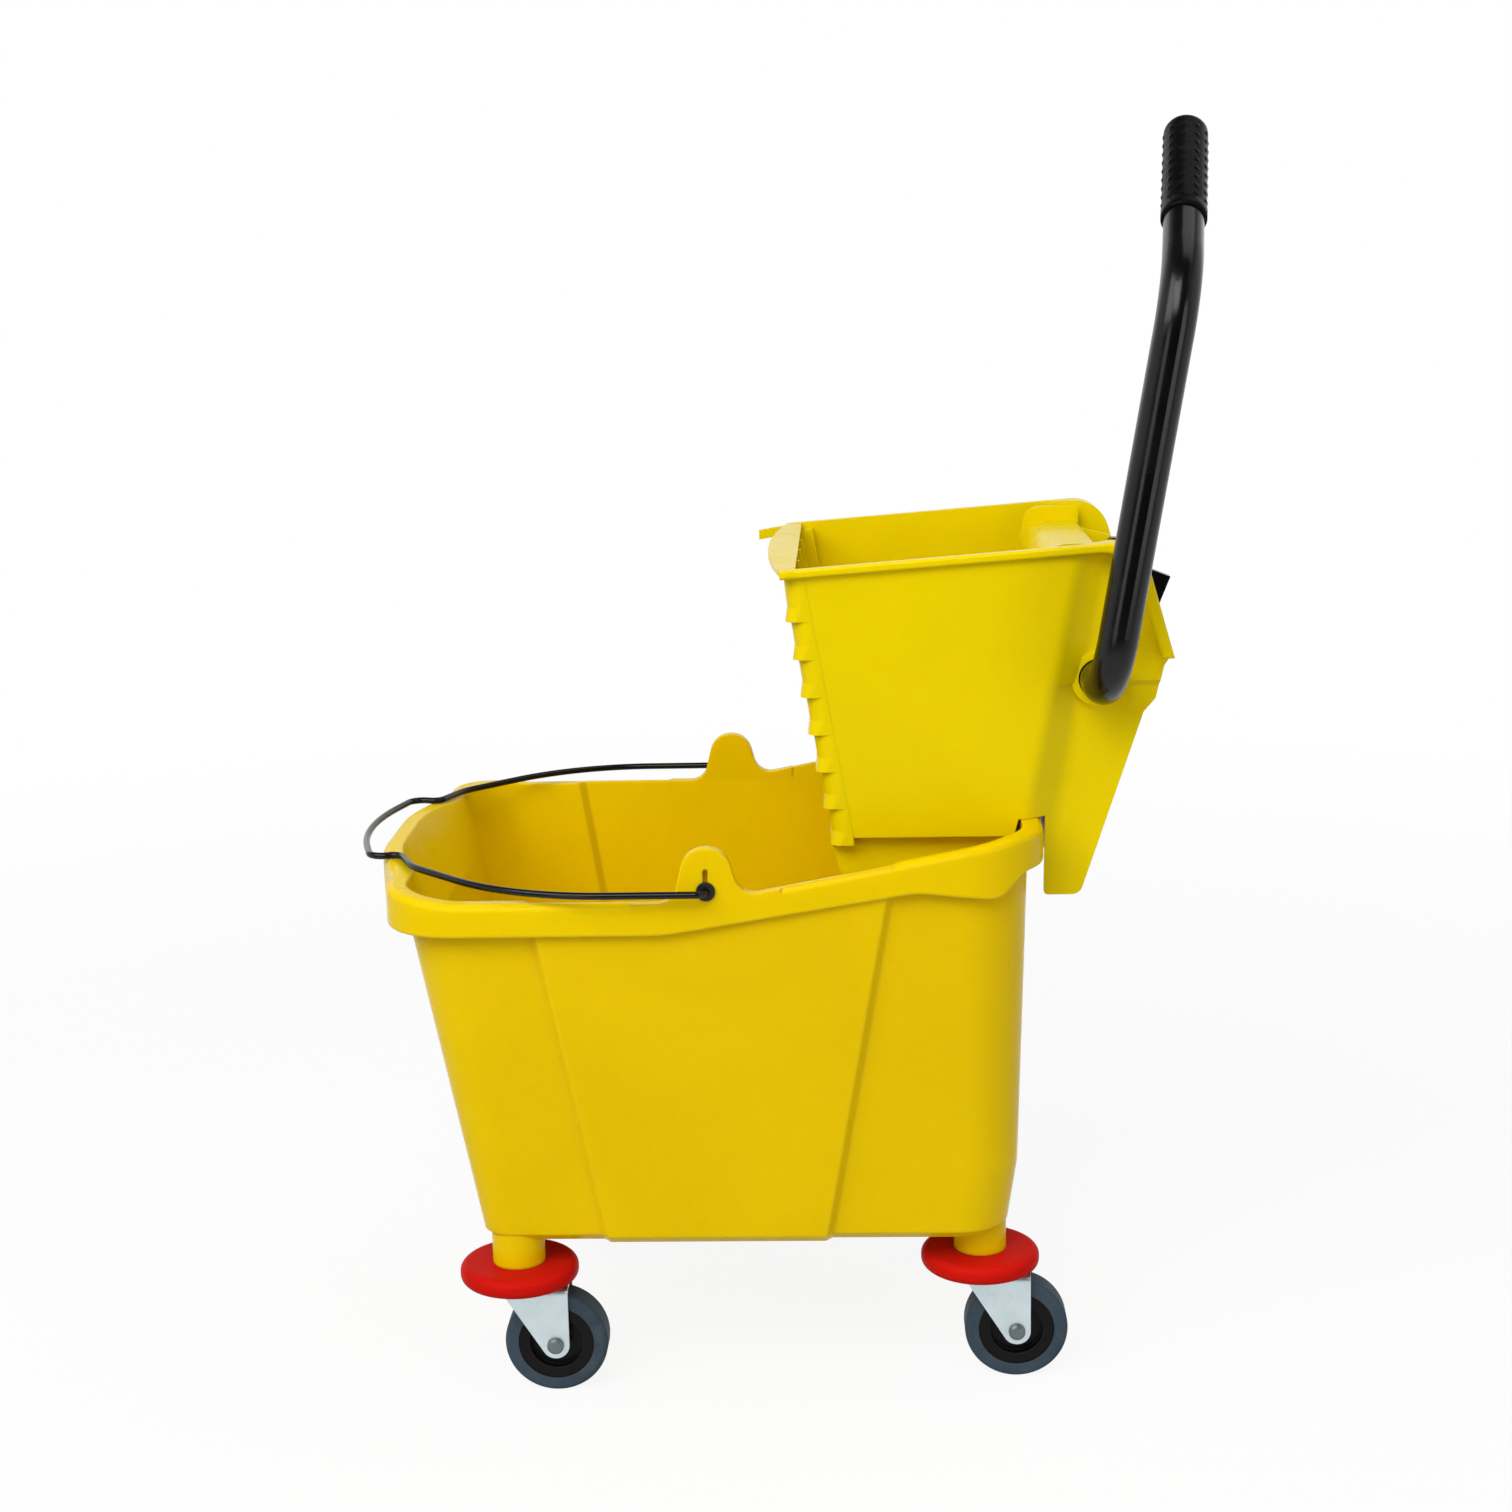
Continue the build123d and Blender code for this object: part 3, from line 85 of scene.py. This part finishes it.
# Node helpers
BEVEL_SAMPLES = 4
EDGE_BAND = (0.995, 0.93)  # cosine of the bend in the normal: no edge, full edge
WHITE = (1.0, 1.0, 1.0, 1.0)


class Graph:
    """Short calls for building a node tree."""

    def __init__(self, tree):
        self.tree = tree
        tree.nodes.clear()

    def add(self, kind, **values):
        node = self.tree.nodes.new(kind)
        for name, value in values.items():
            setattr(node, name, value)
        return node

    def link(self, source, target):
        self.tree.links.new(source, target)

    def feed(self, socket, value):
        """Link an output to the socket, or write a plain value into it."""
        if isinstance(value, bpy.types.NodeSocket):
            self.link(value, socket)
        else:
            socket.default_value = value

    def math(self, operation, first, second, clamp=False):
        node = self.add("ShaderNodeMath", operation=operation, use_clamp=clamp)
        self.feed(node.inputs[0], first)
        self.feed(node.inputs[1], second)
        return node.outputs[0]

    def noise(self, where, scale, detail=3.0, rough=0.5, distort=0.0):
        node = self.add("ShaderNodeTexNoise")
        self.feed(node.inputs["Vector"], where)
        node.inputs["Scale"].default_value = scale
        node.inputs["Detail"].default_value = detail
        node.inputs["Roughness"].default_value = rough
        node.inputs["Distortion"].default_value = distort
        return node.outputs["Fac"]

    def ramp(self, value, first, last, start=0.0, end=1.0):
        """A smooth step from start to end, while the value goes from first to last."""
        node = self.add("ShaderNodeMapRange", interpolation_type="SMOOTHSTEP")
        self.feed(node.inputs["Value"], value)
        node.inputs["From Min"].default_value = first
        node.inputs["From Max"].default_value = last
        node.inputs["To Min"].default_value = start
        node.inputs["To Max"].default_value = end
        return node.outputs["Result"]

    def blend(self, factor, first, second):
        node = self.add("ShaderNodeMix", data_type="RGBA")
        self.feed(node.inputs["Factor"], factor)
        self.feed(node.inputs["A"], first)
        self.feed(node.inputs["B"], second)
        return node.outputs["Result"]

    def cover(self, base, over, mask, share):
        """The base colour with a share of another one over it, where the mask is 1."""
        return self.blend(self.math("MULTIPLY", mask, share), base, over)

    def lift(self, value, mask, share, clamp=False):
        """The value raised by a share of the mask."""
        return self.math("ADD", value, self.math("MULTIPLY", mask, share), clamp)

    def stretch(self, where, scale):
        node = self.add("ShaderNodeMapping")
        self.feed(node.inputs["Vector"], where)
        node.inputs["Scale"].default_value = scale
        return node.outputs["Vector"]

    def bump(self, height, strength, distance, under=None):
        node = self.add("ShaderNodeBump")
        node.inputs["Strength"].default_value = strength
        node.inputs["Distance"].default_value = distance
        self.link(height, node.inputs["Height"])
        if under is not None:
            self.link(under, node.inputs["Normal"])
        return node.outputs["Normal"]

    def mix_shaders(self, factor, first, second):
        node = self.add("ShaderNodeMixShader")
        self.feed(node.inputs[0], factor)
        self.link(first, node.inputs[1])
        self.link(second, node.inputs[2])
        return node.outputs[0]

    def soft_edges(self, radius):
        """A normal that turns softly over sharp edges, and a mask that is 1 near them."""
        bevel = self.add("ShaderNodeBevel", samples=BEVEL_SAMPLES)
        bevel.inputs["Radius"].default_value = radius
        plain = self.add("ShaderNodeNewGeometry").outputs["Normal"]
        dot = self.add("ShaderNodeVectorMath", operation="DOT_PRODUCT")
        self.link(bevel.outputs[0], dot.inputs[0])
        self.link(plain, dot.inputs[1])
        return bevel.outputs[0], self.ramp(dot.outputs["Value"], *EDGE_BAND)

    def watched(self):
        """Masks of the rays that see the studio: straight or through glass, and mirrored."""
        rays = self.add("ShaderNodeLightPath").outputs
        straight = self.math("MAXIMUM", rays["Is Camera Ray"], rays["Is Transmission Ray"])
        return straight, rays["Is Glossy Ray"]


# Materials
MIDDLE_BAND = (0.3, 0.7)  # where most of a noise lies
WIDE_BAND = (0.25, 0.75)
looks = {}


def tint(colour, factor):
    return tuple(min(1.0, part * factor) for part in colour) + (1.0,)


def toward_grey(colour, grey, share):
    return tuple(part + (grey - part) * share for part in colour) + (1.0,)


def start_material(name):
    material = bpy.data.materials.new(name)
    material.use_nodes = True
    looks[name] = material
    graph = Graph(material.node_tree)
    out = graph.add("ShaderNodeOutputMaterial")
    shader = graph.add("ShaderNodeBsdfPrincipled")
    graph.link(shader.outputs[0], out.inputs["Surface"])
    where = graph.add("ShaderNodeTexCoord").outputs["Object"]
    return graph, shader.inputs, where


def mottle(graph, cloud, colour, dark, light):
    """The colour wandering between two tints of itself."""
    band = graph.ramp(cloud, *MIDDLE_BAND)
    return graph.blend(band, tint(colour, dark), tint(colour, light))


def gloss_range(graph, cloud, rough, below, above):
    """Roughness wandering a little below and above its middle."""
    return graph.ramp(cloud, *WIDE_BAND, start=rough - below, end=rough + above)


# Reach of light inside moulded plastic: a length, and the share of it for red, green and blue
GLOW_SCALE = 0.006
GLOW_REACH = (1.0, 0.6, 0.05)


def moulded(name, colour, rough, swirl, specular=0.4, edge=0.0012, glow=0.0):
    """Injection-moulded plastic: faint flow marks, fine grain, scuffs, and edges painted slightly
    paler as a highlight.
    """
    graph, inputs, where = start_material(name)
    flow = graph.noise(where, scale=5.0, detail=4.0, rough=0.55, distort=0.8)
    cloud = graph.noise(where, scale=38.0)
    fine = graph.noise(where, scale=1400.0, detail=2.0)
    tall = graph.stretch(where, scale=(6.0, 6.0, 0.6))
    streak = graph.noise(tall, scale=55.0, detail=5.0, rough=0.65)
    flat = graph.stretch(where, scale=(9.0, 9.0, 120.0))
    scratch = graph.noise(flat, scale=9.0, detail=6.0, rough=0.7, distort=0.4)
    marks = graph.ramp(scratch, first=0.66, last=0.74)
    patch = graph.ramp(graph.noise(where, scale=9.0), first=0.48, last=0.62)
    worn = graph.math("MULTIPLY", marks, patch)
    turned, rim = graph.soft_edges(edge)

    # pale tint, used both for the real scuffs and for the painted highlight on the edges
    pale = toward_grey(colour, grey=1.0, share=0.06)
    streaks = graph.ramp(streak, first=0.55, last=0.8)
    base = mottle(graph, flow, colour, dark=1.0 - swirl, light=1.0 + swirl)
    base = graph.cover(base, tint(colour, factor=0.9), mask=streaks, share=0.10)
    # painted highlight: near sharp edges the colour turns paler, standing in for light caught on
    # the rounded edges
    base = graph.cover(base, pale, mask=rim, share=0.25)
    base = graph.cover(base, pale, mask=worn, share=0.0875)
    graph.link(base, inputs["Base Color"])

    gloss = gloss_range(graph, cloud, rough, below=0.05, above=0.06)
    gloss = graph.lift(gloss, mask=worn, share=0.25)
    gloss = graph.lift(gloss, mask=rim, share=0.05, clamp=True)
    graph.link(gloss, inputs["Roughness"])
    inputs["Specular IOR Level"].default_value = specular
    inputs["Subsurface Weight"].default_value = glow
    inputs["Subsurface Radius"].default_value = GLOW_REACH
    inputs["Subsurface Scale"].default_value = GLOW_SCALE

    ripple = graph.bump(flow, strength=0.10, distance=0.002, under=turned)
    skin = graph.bump(fine, strength=0.06, distance=0.0004, under=ripple)
    graph.link(skin, inputs["Normal"])


SPECK = (0.10, 0.10, 0.10, 1.0)
RUBBED = (0.03, 0.03, 0.031, 1.0)


def enamel(name, colour, rough, specular):
    """Sprayed paint on steel tube: orange peel, dust specks, a little rubbing in patches."""
    graph, inputs, where = start_material(name)
    peel = graph.noise(where, scale=420.0, detail=2.0)
    cloud = graph.noise(where, scale=26.0)
    dust = graph.noise(where, scale=620.0, detail=1.0)
    speck = graph.ramp(dust, first=0.70, last=0.76)
    tall = graph.stretch(where, scale=(1.0, 1.0, 0.25))
    rubbing = graph.noise(tall, scale=60.0, detail=5.0, rough=0.6)
    rub = graph.ramp(rubbing, first=0.60, last=0.75)

    base = mottle(graph, cloud, colour, dark=0.8, light=1.25)
    base = graph.cover(base, SPECK, mask=speck, share=0.10)
    base = graph.cover(base, RUBBED, mask=rub, share=0.15)
    graph.link(base, inputs["Base Color"])

    gloss = gloss_range(graph, cloud, rough, below=0.04, above=0.05)
    gloss = graph.lift(gloss, mask=rub, share=0.10, clamp=True)
    graph.link(gloss, inputs["Roughness"])
    inputs["Specular IOR Level"].default_value = specular
    graph.link(graph.bump(peel, strength=0.10, distance=0.0004), inputs["Normal"])


FINE_EDGE = 0.0008


def rubber(name, colour, rough, dust, specular, wear=0.15):
    """Matt rubber with a fine pebble, pale dust in patches and worn edges."""
    graph, inputs, where = start_material(name)
    pebble = graph.noise(where, scale=900.0, rough=0.6)
    cloud = graph.noise(where, scale=30.0, detail=4.0, rough=0.6)
    settled = graph.noise(where, scale=70.0, detail=6.0, rough=0.65)
    film = graph.ramp(settled, first=0.45, last=0.75)
    turned, rim = graph.soft_edges(FINE_EDGE)

    pale = toward_grey(colour, grey=0.5, share=0.35)
    base = mottle(graph, cloud, colour, dark=0.88, light=1.12)
    base = graph.cover(base, pale, mask=film, share=dust)
    base = graph.cover(base, pale, mask=rim, share=wear)
    graph.link(base, inputs["Base Color"])

    gloss = gloss_range(graph, cloud, rough, below=0.06, above=0.08)
    graph.link(gloss, inputs["Roughness"])
    inputs["Specular IOR Level"].default_value = specular
    skin = graph.bump(pebble, strength=0.15, distance=0.0004, under=turned)
    graph.link(skin, inputs["Normal"])


def plated(name, colour, rough):
    """Zinc-plated or bare steel: soft cloudy brightness, rolling lines, small dull spots."""
    graph, inputs, where = start_material(name)
    cloud = graph.noise(where, scale=45.0, detail=4.0, rough=0.6)
    rolled = graph.stretch(where, scale=(1.0, 1.0, 14.0))
    grain = graph.noise(rolled, scale=160.0, detail=4.0, rough=0.6)
    spot = graph.ramp(graph.noise(where, scale=260.0), first=0.62, last=0.74)
    turned, rim = graph.soft_edges(FINE_EDGE)

    base = mottle(graph, cloud, colour, dark=0.90, light=1.04)
    base = graph.cover(base, tint(colour, factor=0.72), mask=spot, share=0.18)
    # painted highlight: near sharp edges the steel is brighter, standing in for glints on the
    # rounded edges
    base = graph.cover(base, tint(colour, factor=1.12), mask=rim, share=0.30)
    graph.link(base, inputs["Base Color"])
    inputs["Metallic"].default_value = 1.0

    gloss = gloss_range(graph, cloud, rough, below=0.06, above=0.08)
    gloss = graph.lift(gloss, mask=spot, share=0.12, clamp=True)
    graph.link(gloss, inputs["Roughness"])
    skin = graph.bump(grain, strength=0.06, distance=0.0003, under=turned)
    graph.link(skin, inputs["Normal"])


YELLOW = (0.77, 0.535, 0.0)
LEMON = (0.755, 0.575, 0.0)
RED = (0.54, 0.008, 0.004)
BLACK = (0.006, 0.006, 0.0065)
PAINT = (0.003, 0.003, 0.0033)
GRIP = (0.0025, 0.0025, 0.0027)
STEEL = (0.60, 0.60, 0.61)
BOLT = (0.17, 0.20, 0.205)
ZINC = (0.62, 0.72, 0.75)
HUB = (0.005, 0.005, 0.0055)
TYRE = (0.044, 0.066, 0.088)

moulded("yellow_plastic", YELLOW, rough=0.22, swirl=0.03, specular=0.05, edge=0.0026, glow=0.5)
moulded("lemon_plastic", LEMON, rough=0.22, swirl=0.03, specular=0.06, edge=0.0003, glow=0.2)
moulded("red_plastic", RED, rough=0.40, swirl=0.07, specular=0.02, edge=0.0018)
moulded("black_plastic", BLACK, rough=0.40, swirl=0.15)
enamel("black_paint", PAINT, rough=0.20, specular=0.28)
rubber("grip_rubber", GRIP, rough=0.34, dust=0.02, specular=0.05, wear=0.01)
plated("bare_steel", STEEL, rough=0.34)
plated("zinc_steel", ZINC, rough=0.40)
plated("bolt_steel", BOLT, rough=0.46)
moulded("hub_plastic", HUB, rough=0.26, swirl=0.15, specular=0.10)
rubber("tyre_grey", TYRE, rough=0.55, dust=0.10, specular=0.06)

# Finish of each node, by the start of its name
FINISH = (
    ("bucket_tub", "yellow_plastic"),
    ("wringer_basket", "lemon_plastic"),
    ("louvre_front", "lemon_plastic"),
    ("rear_cover", "lemon_plastic"),
    ("press_plate", "lemon_plastic"),
    ("bumper", "red_plastic"),
    ("bail_bush", "black_plastic"),
    ("shaft_bush", "black_plastic"),
    ("shaft_end_cap", "black_plastic"),
    ("bail_wire", "black_paint"),
    ("handle_tube", "black_paint"),
    ("press_lever", "black_paint"),
    ("handle_grip", "grip_rubber"),
    ("fork", "zinc_steel"),
    ("axle_bolt", "bolt_steel"),
    ("axle_nut", "zinc_steel"),
    ("cover_screws", "zinc_steel"),
    ("lever_bolts", "zinc_steel"),
    ("caster_stem", "bare_steel"),
    ("axle_sleeve", "bare_steel"),
    ("plate_pin", "bare_steel"),
    ("wheel_hub", "hub_plastic"),
    ("tyre", "tyre_grey"),
)


def finish_of(name):
    for start, slot in FINISH:
        if name.startswith(start):
            return slot
    raise ValueError(name)


for name, node in nodes.items():
    node.data.materials.clear()
    node.data.materials.append(looks[finish_of(name)])


# Grip with rows of small raised dots, in place of the plain CAD grip
HANDLE_LEAN = math.radians(9.5)
HAND_BEND = math.radians(49.0)
UPRIGHT_L = 0.2701
HAND_L = 0.153
TUBE_R = 0.01345
GRIP_R = 0.0158  # over the dots
GRIP_CAP = 0.007  # from the tube's end to the tip
GRIP_ROUND = 0.010
GRIP_L = 0.090  # from the tube's end to the collar's edge
COLLAR_R = 0.0153
COLLAR_L = 0.009
COLLAR_EDGE = 0.0008
BORE_R = 0.0136
DOT_H = 0.0008
DOT_R = 0.0021
DOT_COLUMNS = 10
DOT_PITCH = 0.0088
DOT_STEPS = 16  # mesh cells from dot to dot
ROUND_STEPS = 12  # mesh cells over the round end


def grip_profile():
    """(radius, place along the axis) from the tip to the bore, finely cut where the dots are."""
    skin = GRIP_R - DOT_H
    arc = GRIP_ROUND - DOT_H
    start = GRIP_CAP - DOT_H - arc
    end = COLLAR_L - GRIP_L
    points = []
    for i in range(1, ROUND_STEPS + 1):
        turn = math.radians(90.0 * i / ROUND_STEPS)
        points.append((skin - arc + arc * math.sin(turn), start + arc * math.cos(turn)))
    steps = round((start - end) / DOT_PITCH * DOT_STEPS)
    points += [(skin, start + (end - start) * i / steps) for i in range(1, steps + 1)]
    points += [
        (COLLAR_R, end),
        (COLLAR_R, COLLAR_EDGE - GRIP_L),
        (COLLAR_R - COLLAR_EDGE, -GRIP_L),
        (BORE_R, -GRIP_L),
    ]
    return points


def from_nearest(value):
    """How far a value is from the nearest whole number."""
    return (value + 0.5) % 1.0 - 0.5


def dot_height(angle, along):
    """Height of the skin over its round base: a low dome at each dot, none at the grip's ends."""
    if along > GRIP_CAP - GRIP_ROUND or along < COLLAR_L - GRIP_L + DOT_R:
        return 0.0
    column = math.tau / DOT_COLUMNS
    aside = from_nearest(angle / column) * column * GRIP_R
    beside = from_nearest(along / DOT_PITCH) * DOT_PITCH
    return DOT_H * max(0.0, 1.0 - (aside * aside + beside * beside) / DOT_R ** 2)


def make_grip():
    pull = next(joint for joint in frame["joints"] if joint["name"] == "handle_pull")
    upright_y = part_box("handle_tube")[0][1] + TUBE_R
    rise = Vector((math.sin(HANDLE_LEAN), 0.0, math.cos(HANDLE_LEAN)))
    across = Vector((0.0, 1.0, 0.0))
    side = rise.cross(across)
    way = rise * math.cos(HAND_BEND) + across * math.sin(HAND_BEND)
    over = way.cross(side)
    end = Vector(pull["pos_m"]) + rise * UPRIGHT_L + across * upright_y + way * HAND_L

    around = DOT_COLUMNS * DOT_STEPS
    profile = grip_profile()
    places = [end + way * (GRIP_CAP - DOT_H)]
    for radius, along in profile:
        for i in range(around):
            angle = math.tau * i / around
            full = radius + dot_height(angle, along)
            place = end + way * along
            place = place + side * (full * math.cos(angle)) + over * (full * math.sin(angle))
            places.append(place)
    faces = [(0, 1 + i, 1 + (i + 1) % around) for i in range(around)]
    for row in range(len(profile) - 1):
        first = 1 + row * around
        for i in range(around):
            j = (i + 1) % around
            faces.append((first + i, first + around + i, first + around + j, first + j))
    mesh = bpy.data.meshes.new("grip_dotted")
    mesh.from_pydata(places, [], faces)
    mesh.polygons.foreach_set("use_smooth", [True] * len(mesh.polygons))
    mesh.materials.append(looks["grip_rubber"])
    grip = bpy.data.objects.new("grip_dotted", mesh)
    scene.collection.objects.link(grip)
    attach(grip, "handle")
    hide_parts("handle_grip")


make_grip()

# Floor: a pale disc that keeps the object's shadow and fades away with distance
FLOOR_R = 7.0
FLOOR_SIDES = 96
FADE_START = 0.8
FADE_END = 2.4
PAPER_DARK = (0.80, 0.80, 0.80, 1.0)
PAPER_LIGHT = (0.84, 0.84, 0.84, 1.0)
PAPER_BOUNCE = (0.46, 0.46, 0.46, 1.0)  # for the light that it throws on the object
WHITE_SHARE = 0.90  # of plain white, in the floor as the eye sees it


def make_floor():
    mesh = bpy.data.meshes.new("floor")
    turns = [math.tau * i / FLOOR_SIDES for i in range(FLOOR_SIDES)]
    ring = [(FLOOR_R * math.cos(turn), FLOOR_R * math.sin(turn), 0.0) for turn in turns]
    mesh.from_pydata(ring, [], [tuple(range(FLOOR_SIDES))])
    floor = bpy.data.objects.new("floor", mesh)
    scene.collection.objects.link(floor)

    material = bpy.data.materials.new("floor")
    material.use_nodes = True
    mesh.materials.append(material)
    graph = Graph(material.node_tree)
    out = graph.add("ShaderNodeOutputMaterial")
    where = graph.add("ShaderNodeTexCoord").outputs["Object"]
    away = graph.add("ShaderNodeVectorMath", operation="LENGTH")
    graph.link(where, away.inputs[0])
    paper = graph.add("ShaderNodeBsdfDiffuse")
    speckle = graph.noise(where, scale=30.0, detail=4.0)
    graph.link(graph.blend(speckle, PAPER_DARK, PAPER_LIGHT), paper.inputs["Color"])
    dim = graph.add("ShaderNodeBsdfDiffuse")
    dim.inputs["Color"].default_value = PAPER_BOUNCE
    white = graph.add("ShaderNodeEmission")
    white.inputs["Strength"].default_value = 1.0
    gone = graph.add("ShaderNodeBsdfTransparent")

    straight, mirrored = graph.watched()
    seen = graph.math("MAXIMUM", straight, mirrored)
    pale = graph.mix_shaders(WHITE_SHARE, paper.outputs[0], white.outputs[0])
    near = graph.mix_shaders(seen, dim.outputs[0], pale)
    faded = graph.ramp(away.outputs["Value"], FADE_START, FADE_END)
    surface = graph.mix_shaders(faded, near, gone.outputs[0])
    graph.link(surface, out.inputs["Surface"])


make_floor()

# World: white to the eye, dimmer as light, dark behind the camera and overhead in reflections
WORLD_LIGHT = 0.30
FRONT_DARK = 0.02
FRONT_BAND = (-0.25, -0.75)
ROOF_DARK = 0.06
ROOF_BAND = (0.35, 0.85)


def make_world():
    world = bpy.data.worlds.new("studio")
    world.use_nodes = True
    scene.world = world
    graph = Graph(world.node_tree)
    out = graph.add("ShaderNodeOutputWorld")
    sky = graph.add("ShaderNodeBackground")
    sky.inputs["Color"].default_value = WHITE
    graph.link(sky.outputs[0], out.inputs["Surface"])
    split = graph.add("ShaderNodeSeparateXYZ")
    aim = graph.add("ShaderNodeTexCoord").outputs["Generated"]
    graph.link(aim, split.inputs[0])
    front = graph.ramp(split.outputs["Y"], *FRONT_BAND, start=1.0, end=FRONT_DARK)
    roof = graph.ramp(split.outputs["Z"], *ROOF_BAND, start=1.0, end=ROOF_DARK)
    mirror = graph.math("MULTIPLY", front, roof)

    straight, mirrored = graph.watched()
    plain = graph.lift(WORLD_LIGHT, mask=straight, share=1.0 - WORLD_LIGHT)
    kept = graph.math("MULTIPLY", plain, graph.math("SUBTRACT", 1.0, mirrored))
    graph.link(graph.lift(kept, mask=mirror, share=mirrored), sky.inputs["Strength"])


make_world()

# Lamps, all aimed at the middle of the object
MIDDLE = Vector((0.03, 0.0, 0.42))


def softbox(name, place, size, watts):
    data = bpy.data.lights.new(name, "AREA")
    data.shape = "RECTANGLE"
    data.size, data.size_y = size
    data.energy = watts
    lamp = bpy.data.objects.new(name, data)
    lamp.location = place
    aim = MIDDLE - Vector(place)
    lamp.rotation_euler = aim.to_track_quat("-Z", "Y").to_euler()
    scene.collection.objects.link(lamp)


softbox("key", place=(-1.9, -1.8, 2.5), size=(2.0, 2.0), watts=56.5)
softbox("right_strip", place=(1.6, -1.7, 0.75), size=(0.8, 1.4), watts=8.5)
softbox("left_strip", place=(-1.0, -2.2, 0.65), size=(0.7, 1.2), watts=6.0)
softbox("fill", place=(-0.35, -2.4, 2.5), size=(1.4, 1.4), watts=40.0)
softbox("back_left", place=(-1.5, 2.2, 1.6), size=(1.6, 1.6), watts=4.0)
softbox("back_right", place=(1.5, 2.0, 1.6), size=(1.6, 1.6), watts=4.0)
softbox("top", place=(1.0, 0.1, 2.7), size=(1.6, 1.6), watts=12.0)
